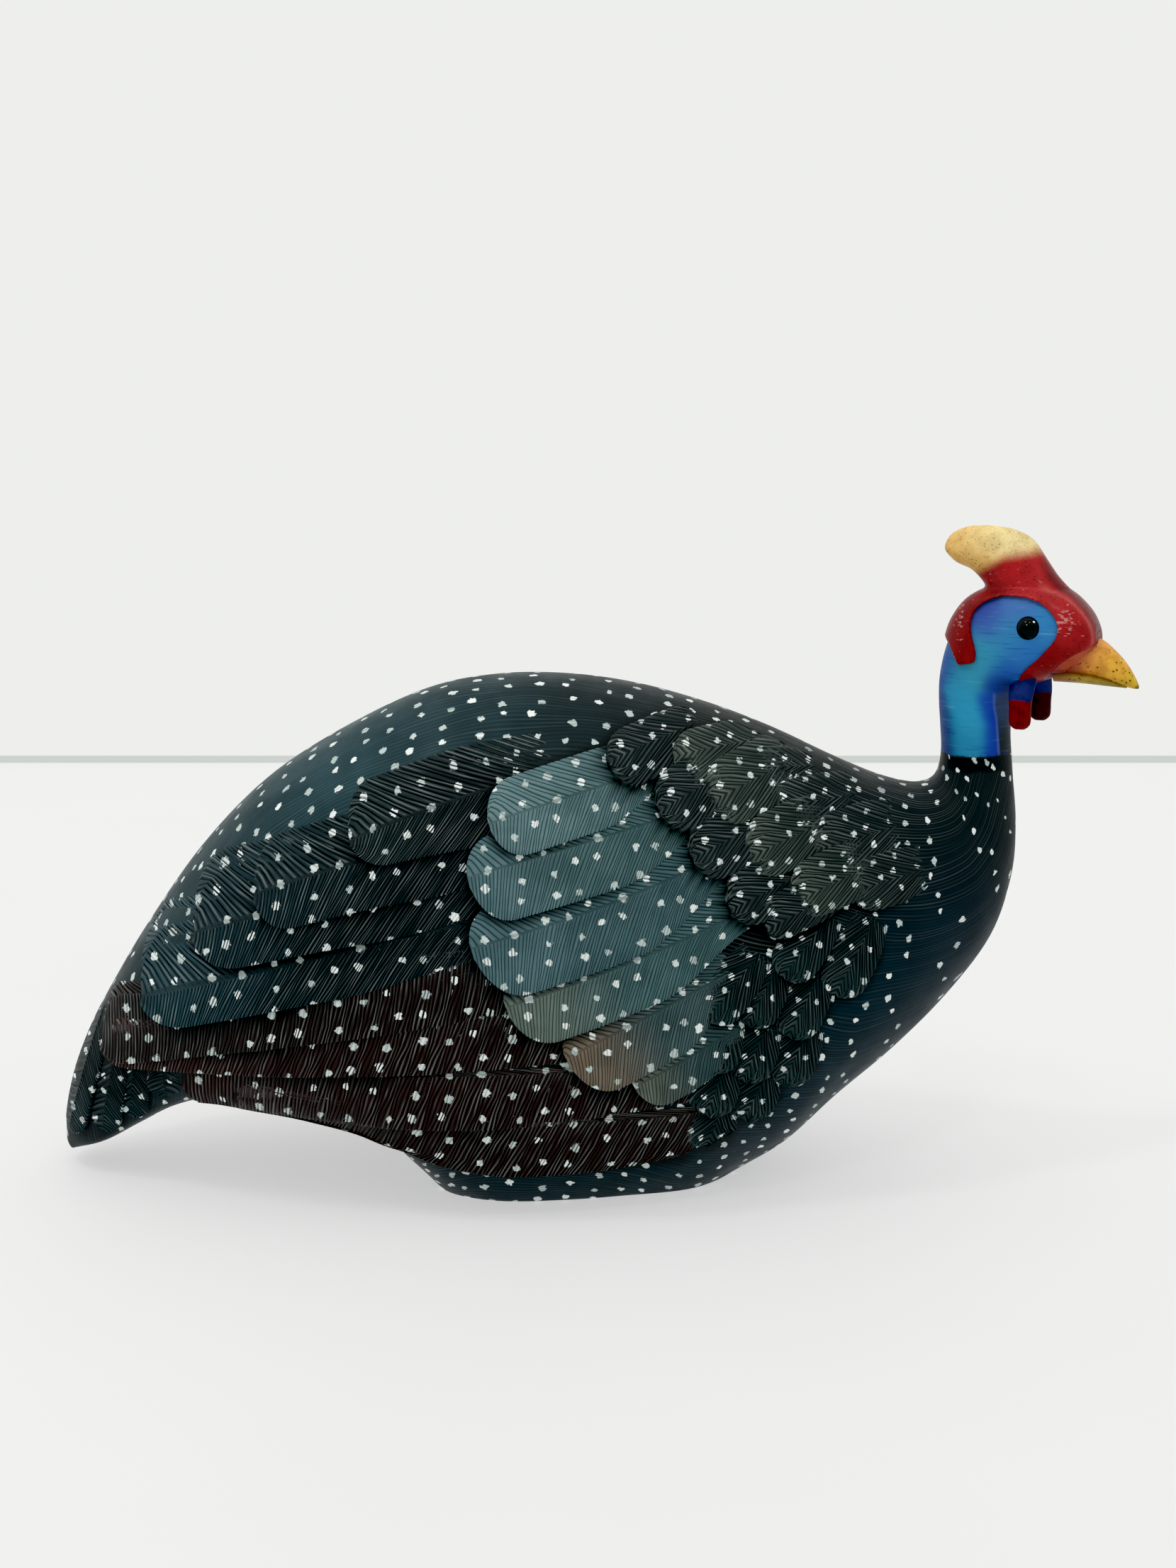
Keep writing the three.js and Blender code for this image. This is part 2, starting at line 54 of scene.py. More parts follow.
# upper outline x, z; lower outline x, z; half width; widest share; squareness; wing's edge; overhang
SECTIONS = np.array([
    (-167.5, 8.5, -165, 4, 5, 0.6, 2.4, 0.85, 0),
    (-167, 17, -153, 9, 15, 0.72, 3, 0.85, 0),
    (-163.8, 31, -140.5, 16.5, 22, 0.75, 3.2, 0.85, 0),
    (-158.4, 44.6, -128.5, 23, 28, 0.72, 3.2, 0.85, 0),
    (-151, 58.3, -114.7, 26, 34, 0.66, 3, 0.85, 1.5),
    (-139.9, 76.5, -98, 24, 41, 0.62, 2.8, 0.88, 4),
    (-122.7, 100.7, -82, 20.5, 48, 0.6, 2.6, 0.9, 6),
    (-102.6, 121.4, -66, 14, 52.5, 0.58, 2.5, 0.89, 7),
    (-79.4, 136.8, -54, 2, 55, 0.56, 2.5, 0.835, 7),
    (-53.2, 149.3, -43, -9, 56.5, 0.55, 2.5, 0.815, 7),
    (-31.5, 153.8, -28, -14, 57, 0.547, 2.6, 0.81, 7),
    (-9.9, 154, -10, -14, 56.5, 0.55, 2.5, 0.81, 6.5),
    (11.8, 151, 8, -13, 55, 0.55, 2.3, 0.805, 5),
    (33.4, 145, 26, -11, 52.5, 0.56, 2.1, 0.79, 2),
    (53, 137.5, 41.5, -2, 49, 0.57, 2, 0.78, 0),
    (70.6, 129.2, 57, 7.5, 44.5, 0.57, 2, 0.78, 0),
    (84.8, 123.2, 72.5, 22, 39, 0.57, 2, 0.78, 0),
    (94.7, 120.6, 90.3, 37, 32.5, 0.56, 2, 0.78, 0),
    (100, 120.8, 107.3, 54, 25.5, 0.55, 2, 0.78, 0),
    (103, 122.6, 121, 72.5, 19.5, 0.53, 2, 0.78, 0),
    (104.4, 126.1, 127.2, 91.5, 15, 0.52, 2, 0.78, 0),
    (104.9, 131.1, 128.2, 108, 12.3, 0.5, 2, 0.78, 0),
    (104.5, 137.7, 126.8, 124, 11.1, 0.5, 2, 0.78, 0),
    (103.9, 145.4, 125.8, 138.5, 10.8, 0.5, 2, 0.78, 0),
    (103.8, 152, 127.5, 148, 11, 0.5, 2, 0.78, 0),
    (104.7, 158.5, 132.5, 151.5, 11.6, 0.5, 2, 0.78, 0),
    (106.3, 164.5, 137.5, 153.5, 12.2, 0.5, 2, 0.78, 0),
    (108.3, 170.5, 141.5, 154.8, 12.5, 0.5, 2, 0.78, 0),
    (112.8, 176.5, 144.5, 155.8, 12.4, 0.5, 2, 0.78, 0),
    (120, 180.3, 147, 156.8, 12, 0.5, 2, 0.78, 0),
    (128.5, 182.2, 149, 158, 11.4, 0.5, 2, 0.78, 0),
    (136.5, 182, 150.3, 159.4, 10.6, 0.5, 2, 0.78, 0),
    (143.5, 179.2, 151.3, 161, 9.4, 0.5, 2, 0.78, 0),
    (149, 174, 152, 162.5, 7.2, 0.5, 2, 0.78, 0),
    (151.7, 169, 152.3, 164.5, 3.8, 0.5, 2, 0.78, 0),
])
TOP_X, TOP_Z, FOOT_X, FOOT_Z, HALF, WIDEST, LOWER, EDGE, OVERHANG = range(9)


def smooth(x):
    c = np.clip(x, 0, 1)
    return c * c * (3 - 2 * c)


def between(a, b, t):
    return a + (b - a) * t


def curve_at(rows, u):
    """Catmull-Rom through rows of numbers, where whole values of u are the rows themselves."""
    u = np.asarray(u, float)
    last = len(rows) - 1
    i = np.clip(np.floor(u).astype(int), 0, last - 1)
    t = (u - i)[..., None]
    a, b, c, d = (rows[np.clip(i + k, 0, last)] for k in (-1, 0, 1, 2))
    return 0.5 * (2 * b + (c - a) * t + (2 * a - 5 * b + 4 * c - d) * t**2
                  + (3 * b - a - 3 * c + d) * t**3)


def half_width(section, share):
    """Half the body's width at a share of the way down its sections."""
    widest, lower = section[..., WIDEST], section[..., LOWER]
    above = share < widest
    away = np.where(above, 1 - share / widest, (share - widest) / (1 - widest))
    power = np.where(above, 2, lower)
    inside = np.maximum(0, 1 - np.clip(away, 0, 1) ** power)
    return section[..., HALF] * inside ** (1 / power)


def wing_bulge(section, share):
    """How far the folded wing stands out from the body there."""
    over = (share / section[..., EDGE] - WING_FROM) / (1 - WING_FROM)
    return section[..., OVERHANG] * smooth(over)


def point_on(section, share, y):
    x = between(section[..., TOP_X], section[..., FOOT_X], share)
    z = between(section[..., TOP_Z], section[..., FOOT_Z], share)
    return np.stack([x, y, z], -1)


def turn_head(points, share=None):
    """Points turned about the neck's axis: with the neck's own twist, or by a share of the turn."""
    x, y, z = points[:, 0], points[:, 1], points[:, 2]
    if share is None:
        share = np.where(x < HEAD_FROM, 0, smooth((z - TWIST_LOW) / (TWIST_HIGH - TWIST_LOW)))
    angle = np.radians(-HEAD_TURN) * share
    dx = x - NECK_AXIS
    return np.stack([NECK_AXIS + dx * np.cos(angle) - y * np.sin(angle),
                     dx * np.sin(angle) + y * np.cos(angle), z], -1)


def grid_mesh(name, rows, columns):
    """A flat grid, and each vertex's row and column in it."""
    bm = bmesh.new()
    bmesh.ops.create_grid(bm, x_segments=columns - 1, y_segments=rows - 1, size=1)
    mesh = bpy.data.meshes.new(name)
    bm.to_mesh(mesh)
    bm.free()
    co = np.empty(len(mesh.vertices) * 3)
    mesh.vertices.foreach_get("co", co)
    co = co.reshape(-1, 3)
    row = np.rint((co[:, 1] + 1) / 2 * (rows - 1)).astype(int)
    column = np.rint((co[:, 0] + 1) / 2 * (columns - 1)).astype(int)
    return mesh, row, column


def set_points(mesh, points):
    mesh.vertices.foreach_set("co", (points * MM).astype(np.float32).ravel())
    mesh.update()


def get_points(mesh):
    co = np.empty(len(mesh.vertices) * 3)
    mesh.vertices.foreach_get("co", co)
    return co.reshape(-1, 3) / MM


def set_uv(mesh, name, uv):
    layer = mesh.uv_layers.new(name=name)
    loops = np.empty(len(mesh.loops), int)
    mesh.loops.foreach_get("vertex_index", loops)
    layer.data.foreach_set("uv", uv[loops].astype(np.float32).ravel())


def set_value(mesh, name, values):
    layer = mesh.attributes.new(name, "FLOAT", "POINT")
    layer.data.foreach_set("value", np.asarray(values, np.float32).ravel())


def linear(colour):
    """The linear value of an sRGB hex colour."""
    parts = [int(colour[k:k + 2], 16) / 255 for k in (1, 3, 5)]
    return np.array([c / 12.92 if c <= 0.04045 else ((c + 0.055) / 1.055) ** 2.4 for c in parts])


def set_paint(mesh, colours):
    layer = mesh.attributes.new("paint", "FLOAT_COLOR", "POINT")
    rgba = np.concatenate([colours, np.ones((len(colours), 1))], 1)
    layer.data.foreach_set("color", rgba.astype(np.float32).ravel())


def near(points, patches):
    """Painted patches blended softly into each other: (x, z, radius, colour) in the side view."""
    total = np.zeros(len(points))
    mixed = np.zeros((len(points), 3))
    for x, z, radius, colour in patches:
        away = ((points[:, 0] - x) ** 2 + (points[:, 2] - z) ** 2) / radius**2
        weight = np.exp(-away) + 1e-9 / (1 + away)
        total += weight
        mixed += weight[:, None] * linear(colour)
    return mixed / total[:, None]


def spot(x, z, middle, radii):
    """1 inside an oval of the side view, and softly 0 outside it."""
    return np.exp(-((((x - middle[0]) / radii[0]) ** 2 + ((z - middle[1]) / radii[1]) ** 2) ** 2))


RINGS_PER_SECTION = 7
ABOVE_EDGE = 90
BELOW_EDGE = 34
stations = np.linspace(0, len(SECTIONS) - 1, (len(SECTIONS) - 1) * RINGS_PER_SECTION + 1)
foot = ABOVE_EDGE + BELOW_EDGE + 1
body_mesh, row, column = grid_mesh("body", len(stations), 2 * foot + 1)
section = curve_at(SECTIONS, stations[row])
down_ring = np.abs(column - foot)
on_wing = down_ring <= ABOVE_EDGE
widest, lower, edge = (section[:, k] for k in (WIDEST, LOWER, EDGE))
edge_angle = np.pi - np.arccos(((edge - widest) / (1 - widest)) ** (lower / 2))
below = (down_ring - ABOVE_EDGE - 1) / BELOW_EDGE
angle = np.where(on_wing, edge_angle * down_ring / ABOVE_EDGE, between(edge_angle, np.pi, below))
drop = -np.cos(angle)
share = np.where(drop < 0, widest * (1 + drop),
                 widest + (1 - widest) * np.abs(drop) ** (2 / lower))
out_by = half_width(section, share) + np.where(on_wing, wing_bulge(section, share), 0)
out_by = np.where((down_ring == 0) | (down_ring == foot), 0, out_by)
body_points = point_on(section, share, np.sign(column - foot) * out_by)

# distances over the surface in millimetres: along the bird, and down from the middle of its back
placed = np.zeros((len(stations), 2 * foot + 1, 3))
placed[row, column] = body_points
ring_length = np.zeros(placed.shape[:2])
ring_length[:, 1:] = np.cumsum(np.linalg.norm(np.diff(placed, axis=1), axis=2), axis=1)
from_back = ring_length - ring_length[:, foot][:, None]
spine_steps = np.linalg.norm(np.diff(placed[:, foot], axis=0), axis=1)
along_spine = np.concatenate([[0], np.cumsum(spine_steps)])
along_here = np.zeros(placed.shape[:2])
along_here[1:] = np.linalg.norm(np.diff(placed, axis=0), axis=2)
along_here[0] = along_here[1]
stretch = np.clip(along_here / np.maximum(np.gradient(along_spine), 0.05)[:, None], 0.2, 3)
# the painter's dabs sit closer together over the breast and up the neck
closer = np.interp(stations, [0, 3, 13, 16, 19, 21, 34], [1.15, 1, 1, 1.15, 1.45, 1.75, 1.75])
along_dabs = np.concatenate([[0], np.cumsum(np.diff(along_spine) * closer[1:])])
flow = np.stack([along_dabs[row], from_back[row, column] * closer[row]], -1)

# The smooth wood is painted teal over the back, lighter over its upper rear where that is partly a
# painted sheen, near black on the neck and blue on the face: each patch is x, z, radius and colour.
COAT = [
    (-165, 15, 16, "#0c181c"), (-150, 50, 22, "#15292f"), (-120, 96, 26, "#213a40"),
    (-78, 132, 26, "#2c484f"), (-40, 148, 26, "#21393f"), (0, 150, 26, "#121f23"),
    (45, 138, 22, "#131a19"), (80, 118, 20, "#111a1b"), (100, 105, 20, "#0d181c"),
    (95, 75, 20, "#071e2a"), (70, 45, 24, "#07242f"), (35, 20, 24, "#07202a"),
    (0, 5, 22, "#0a232a"), (-40, 5, 22, "#092129"), (-60, 60, 40, "#090f12"),
    (20, 80, 40, "#05090b"), (112, 118, 12, "#0f171a"), (116, 127, 4, "#0a1113"),
]
FACE = [
    (112, 134, 4.4, "#2882aa"), (111.5, 141, 4.4, "#2f92ba"), (112.5, 150, 5, "#3291b8"),
    (104.6, 132, 2.4, "#182a72"), (104.5, 137, 2.4, "#1a2d78"), (104.4, 142, 2.4, "#1c307c"),
    (104.3, 147, 2.4, "#1e3484"), (104.4, 152, 2.4, "#223a8c"), (105.2, 157, 2.4, "#2a4c9c"),
    (118.8, 132, 2.6, "#13329a"), (118.9, 137, 2.6, "#1536a0"), (119.2, 142, 2.6, "#1838a6"),
    (119.6, 147, 2.4, "#1838a6"), (123, 152.5, 3, "#142f90"), (126.5, 156.5, 4, "#2458ae"),
    (107, 158, 5, "#2b5598"), (119, 161, 6, "#388db0"), (115, 157, 5, "#3992ae"),
    (120, 172, 5, "#3b55a4"), (118, 177, 4, "#2f3d8e"), (129.5, 177, 5, "#446fb0"),
    (127, 168, 5, "#377fb2"), (138.5, 171.5, 5, "#3680bd"), (133, 162, 5, "#2f6fb6"),
    (126, 152.5, 2.2, "#0b1544"), (143.5, 159.4, 3, "#a8462a"), (139, 156.5, 2.6, "#78201a"),
    (148, 163.5, 3, "#b0553c"), (142, 162.5, 1.6, "#7c1c18"), (152, 168.8, 2.2, "#6e1014"),
]
COLLAR = 129
x, z = body_points[:, 0], body_points[:, 2]
collar = smooth((z - COLLAR) / 1.5) * (x > HEAD_FROM)
coat = between(near(body_points, COAT), near(body_points, FACE), collar[:, None])
# a slate strip down the front of the throat, with a paler rim
STRIP_TOP = 149.8
strip_from = np.interp(z, [131.5, 139.5, 145, 150], [120.9, 120.2, 120.9, 122.6])
throat = collar * smooth((STRIP_TOP - z) / 0.8)
strip = throat * smooth((x - strip_from) / 0.6)
rim = throat * np.exp(-((x - strip_from) / 0.35) ** 2) * 0.35
slate = between(linear("#141e24"), linear("#35466c"), smooth((z - 134) / 12)[:, None])
coat = between(coat, slate, strip[:, None])
coat = between(coat, linear("#6d86b0"), rim[:, None])
set_points(body_mesh, turn_head(body_points))
set_uv(body_mesh, "surface", flow)
set_paint(body_mesh, coat)
# fine lines are cut along the smooth wood too, wandering a little, and most clearly on the breast
LINES_APART = 1.3
slow, quick = np.sin(flow[:, 0] / 17 + flow[:, 1] / 9), np.sin(flow[:, 0] / 6 - flow[:, 1] / 4)
set_value(body_mesh, "barb", (flow[:, 1] + (1.3 * slow + 0.5 * quick)) / LINES_APART)
fleck = spot(x, z, (58, 112), (46, 36))
set_value(body_mesh, "cut", 0.35 + 0.6 * fleck)
set_value(body_mesh, "drybrush_and_highlight", np.where(collar > 0.5, 0.0, 0.2 + 0.65 * fleck))
set_value(body_mesh, "stretch", stretch[row, column])
set_value(body_mesh, "dab", closer[row])
body_side_view = body_points[:, [0, 2]]


def add_node(tree, kind, *inputs, output=None, **settings):
    """Adds a node and returns one of its outputs: the first in use, unless output names another.

    Its inputs in use take the values or outputs given, in order; None leaves one as it is.
    """
    node = tree.nodes.new("ShaderNode" + kind)
    for name, value in settings.items():
        setattr(node, name, value)
    for socket, value in zip([s for s in node.inputs if s.enabled], inputs):
        if isinstance(value, bpy.types.NodeSocket):
            tree.links.new(value, socket)
        elif value is not None:
            socket.default_value = value
    return node.outputs[output] if output else next(s for s in node.outputs if s.enabled)


TIMES, OVER, PLUS, MINUS = (dict(operation=o) for o in ("MULTIPLY", "DIVIDE", "ADD", "SUBTRACT"))
SMOOTHLY = dict(interpolation_type="SMOOTHSTEP")
COLOURS = dict(data_type="RGBA")
TINT = dict(data_type="RGBA", blend_type="MULTIPLY")


def rgba(colour):
    return (*linear(colour), 1)


def new_material(name, **surface):
    """A material with its node tree and its Principled shader, whose unlinked inputs are set here."""
    material = bpy.data.materials.new(name)
    material.use_nodes = True
    shader = material.node_tree.nodes["Principled BSDF"]
    for key, value in surface.items():
        shader.inputs[key.replace("_", " ")].default_value = value
    return material, material.node_tree, shader


# Satin varnish over acrylic: the near-black teal keeps a soft sheen, each cut is painted dark as
# painted shade, the ridges between cuts carry pale strokes, part nearly dry brush and part painted
# highlight, and the white dabs are thick enough to stand a little proud, broken where the brush
# skipped a cut.
painted, tree, shader = new_material(
    "satin_varnished_acrylic", Roughness=0.42, IOR=1.47, Specular_IOR_Level=0.1)
add = partial(add_node, tree)
place = add("TexCoord", output="Object")
along, across = add("SeparateXYZ", add("UVMap", uv_map="surface")).node.outputs[:2]
value = {name: add("Attribute", attribute_name=name, output="Fac")
         for name in ("barb", "cut", "drybrush_and_highlight", "stretch", "dab", "undercut_shade")}
paint = add("Attribute", attribute_name="paint")
# the paint is uneven in clouds 11 mm across; the cuts lie at whole barb numbers, and are painted
# dark as painted shade
cloudy = add("TexNoise", place, 90.0, 3.0)
away = add("Math", value["barb"], 0.5, operation="PINGPONG")
depth = add("Math", add("MapRange", away, 0.2, 0.05, **SMOOTHLY), value["cut"], **TIMES)
# one number per barb, slowly changing along it, says how much pale stroke its ridge took: part the
# brush's stroke, part painted highlight
lane = add("CombineXYZ", add("Math", value["barb"], 2.3, **TIMES), add("Math", across, 0.1, **TIMES),
           add("Math", along, 0.02, **TIMES))
stroke = add("MapRange", add("TexNoise", lane, 1.0, 2.0, 0.6), 0.42, 0.7, **SMOOTHLY)
ridge = add("Math", add("MapRange", away, 0.26, 0.44, **SMOOTHLY), stroke, **TIMES)
ridge = add("Math", ridge, value["drybrush_and_highlight"], **TIMES)
shade = add("Mix", add("MapRange", cloudy, 0.3, 0.7, 0.0, 0.45, **SMOOTHLY), paint,
            add("Mix", 1.0, paint, rgba("#8fa5a8"), **TINT), **COLOURS)
# painted shade: the cuts are painted near black
dark = add("Mix", add("Math", depth, 0.9, **TIMES), shade, rgba("#020304"), **COLOURS)
# the pale strokes on the ridges: part dry brush, part painted highlight
pale = add("Mix", 0.55, paint, rgba("#a9b2b0"), **COLOURS)
wood = add("Mix", add("Math", ridge, 0.58, **TIMES), dark, pale, **COLOURS)
# painted shade: wood that lies under a feather's edge is painted near black
wood = add("Mix", add("Math", value["undercut_shade"], 0.93, **TIMES), wood, rgba("#010203"), **COLOURS)
# dabs: one in each cell of a loose grid over the surface, 9.4 by 7.4 mm, with a ragged edge
CELL_LONG, CELL_WIDE = 9.4, 7.4
cells = add("CombineXYZ", add("Math", along, CELL_LONG, **OVER), add("Math", across, CELL_WIDE, **OVER))
middle = add("TexVoronoi", cells, 1.0, None, None, None, 0.5, voronoi_dimensions="2D", output="Position")
chance = add("SeparateColor", middle.node.outputs["Color"]).node.outputs
off_x, off_y = add("SeparateXYZ", add("VectorMath", cells, middle, **MINUS)).node.outputs[:2]
off_x = add("Math", add("Math", off_x, CELL_LONG, **TIMES), value["stretch"], **TIMES)
off_x = add("Math", off_x, value["dab"], **OVER)
off_y = add("Math", add("Math", off_y, CELL_WIDE, **TIMES), value["dab"], **OVER)
from_dab = add("Math", add("Math", off_x, off_x, **TIMES), add("Math", off_y, off_y, **TIMES), **PLUS)
from_dab = add("Math", from_dab, operation="SQRT")
ragged = add("MapRange", add("TexNoise", place, 900.0, 2.0), 0.2, 0.8, -0.45, 0.45, **SMOOTHLY)
smaller = add("Math", add("Math", value["dab"], 1.0, **MINUS), 0.55, **TIMES)
uneven = add("MapRange", chance["Blue"], 0.0, 1.0, -0.15, 0.2, **SMOOTHLY)
for by in (ragged, smaller, uneven):
    from_dab = add("Math", from_dab, by, **PLUS)
dab = add("MapRange", from_dab, 1.24, 1.04, **SMOOTHLY)
skipped = add("Math", add("MapRange", away, 0.3, 0.14, **SMOOTHLY), value["cut"], **TIMES)
skipped = add("Math", skipped, add("MapRange", chance["Red"], 0.2, 0.8, 0.1, 1.0, **SMOOTHLY), **TIMES)
dab = add("Math", dab, add("Math", 1.0, skipped, **MINUS), **TIMES)
white = add("Mix", add("MapRange", chance["Green"], 0.2, 0.9, **SMOOTHLY), rgba("#b9c6c4"),
            rgba("#e8efed"), **COLOURS)
# the face starts in a wavy line at the collar, and has fine level streaks and no dabs
ahead, _, height = add("SeparateXYZ", place).node.outputs
ahead = add("MapRange", ahead, 0.089, 0.09, **SMOOTHLY)
height = add("Math", height, add("Math", add("TexNoise", place, 130.0, 3.0), 0.003, **TIMES), **PLUS)
face = add("Math", add("MapRange", height, 0.1311, 0.1319, **SMOOTHLY), ahead, **TIMES)
dab = add("Math", dab, add("Math", 1.0, face, **MINUS), **TIMES)
streak = add("TexNoise", add("Mapping", place, None, None, (110.0, 110.0, 1500.0)), 1.0, 2.0)
skin = add("Mix", add("MapRange", streak, 0.6, 0.8, 0.0, 0.3, **SMOOTHLY), paint, rgba("#7fb6c9"),
           **COLOURS)
skin = add("Mix", add("MapRange", streak, 0.42, 0.28, 0.0, 0.35, **SMOOTHLY), skin,
           add("Mix", 1.0, paint, rgba("#6f86b8"), **TINT), **COLOURS)
dark_collar = add("Math", add("MapRange", height, 0.1265, 0.1275, **SMOOTHLY), ahead, **TIMES)
wood = add("Mix", dark_collar, wood, rgba("#06090b"), **COLOURS)
tree.links.new(add("Mix", dab, add("Mix", face, wood, skin, **COLOURS), white, **COLOURS),
               shader.inputs["Base Color"])
gloss = add("MapRange", cloudy, 0.3, 0.7, 0.36, 0.48, **SMOOTHLY)
tree.links.new(add("Math", gloss, add("Math", dab, 0.15, **TIMES), **PLUS), shader.inputs["Roughness"])
# brush marks about a millimetre wide run along the wood; the cuts are sunk and the dabs stand proud
marks = add("CombineXYZ", add("Math", along, 0.1, **TIMES), add("Math", across, 0.9, **TIMES))
marks = add("Math", add("TexNoise", marks, 1.0, 3.0), 0.35, **TIMES)
relief = add("Math", marks, add("Math", depth, 0.6, **TIMES), **MINUS)
relief = add("Math", relief, add("Math", dab, 0.35, **TIMES), **PLUS)
tree.links.new(add("Bump", 0.6, 0.0003, None, relief), shader.inputs["Normal"])

# ---------------- the carved plumage
# Each feather of the folded wings, the mantle and the sides of the breast is cut standing off
# the one below it, thickest at its tip and lower edge, and its barbs are cut one by one with a
# V tool, about a millimetre apart, leaning towards its tip. The cuts notch its edge.
FEATHER_RELIEF = 2.4  # how far a feather's lower edge stands off at its tip
FEATHER_ROOT = 4  # how deep its walls go into the wood
ROOT_LIFT = 0.15  # shares of the relief, at its root and along its upper edge
UPPER_EDGE_LIFT = 0.14
FULL_LIFT_FROM = 0.8  # shares of its length, from its root
FULL_WIDTH_FROM = 0.45
UPPER_ROOT_WIDTH = 0.85  # shares of its half widths, at its root
LOWER_ROOT_WIDTH = 0.72
ROUND_END = 0.9  # the round tip's length, as a share of its half width
BARB = 1.2
ROWS_PER_BARB = 3
ACROSS = np.array([-1, -0.93, -0.7, -0.4, -0.08, 0, 0.08, 0.4, 0.7, 0.93, 1])


HALVINGS = 22


def locate(x, z):
    """The station and the share of the way down of points of the side view."""
    low, high = np.zeros(len(x)), np.full(len(x), float(LAST_FEATHERED))
    for _ in range(HALVINGS):
        middle = (low + high) / 2
        s = curve_at(SECTIONS, middle)
        ahead = ((x - s[:, TOP_X]) * (s[:, TOP_Z] - s[:, FOOT_Z])
                 - (z - s[:, TOP_Z]) * (s[:, TOP_X] - s[:, FOOT_X])) > 0
        low, high = np.where(ahead, middle, low), np.where(ahead, high, middle)
    s = curve_at(SECTIONS, low)
    across_x, across_z = s[:, FOOT_X] - s[:, TOP_X], s[:, FOOT_Z] - s[:, TOP_Z]
    share = ((x - s[:, TOP_X]) * across_x + (z - s[:, TOP_Z]) * across_z)
    return low, share / (across_x**2 + across_z**2)


def surface_at(station, share):
    """The left side of the bird with its folded wing, and the way out of it."""
    def at(u, s):
        section = curve_at(SECTIONS, u)
        bulge = wing_bulge(section, np.minimum(s, section[:, EDGE]))
        return point_on(section, s, half_width(section, s) + bulge)
    s = np.clip(share, 0.015, curve_at(SECTIONS, station)[:, EDGE] + 0.02)
    along = at(station + 0.2, s) - at(station - 0.2, s)
    down = at(station, s + 0.01) - at(station, s - 0.01)
    out = np.cross(along, down)
    return at(station, s), out / np.linalg.norm(out, axis=1)[:, None]


def outline(s, root_width, tip_from):
    """Half a feather's width along it, as a share: from its root to a round tip, a little blunt."""
    root = between(root_width, 1, smooth(s / FULL_WIDTH_FROM))
    end = np.maximum(0, (s - tip_from) / (1 - tip_from))
    return root * np.sqrt(np.maximum(0.04, 1 - end**2.2))


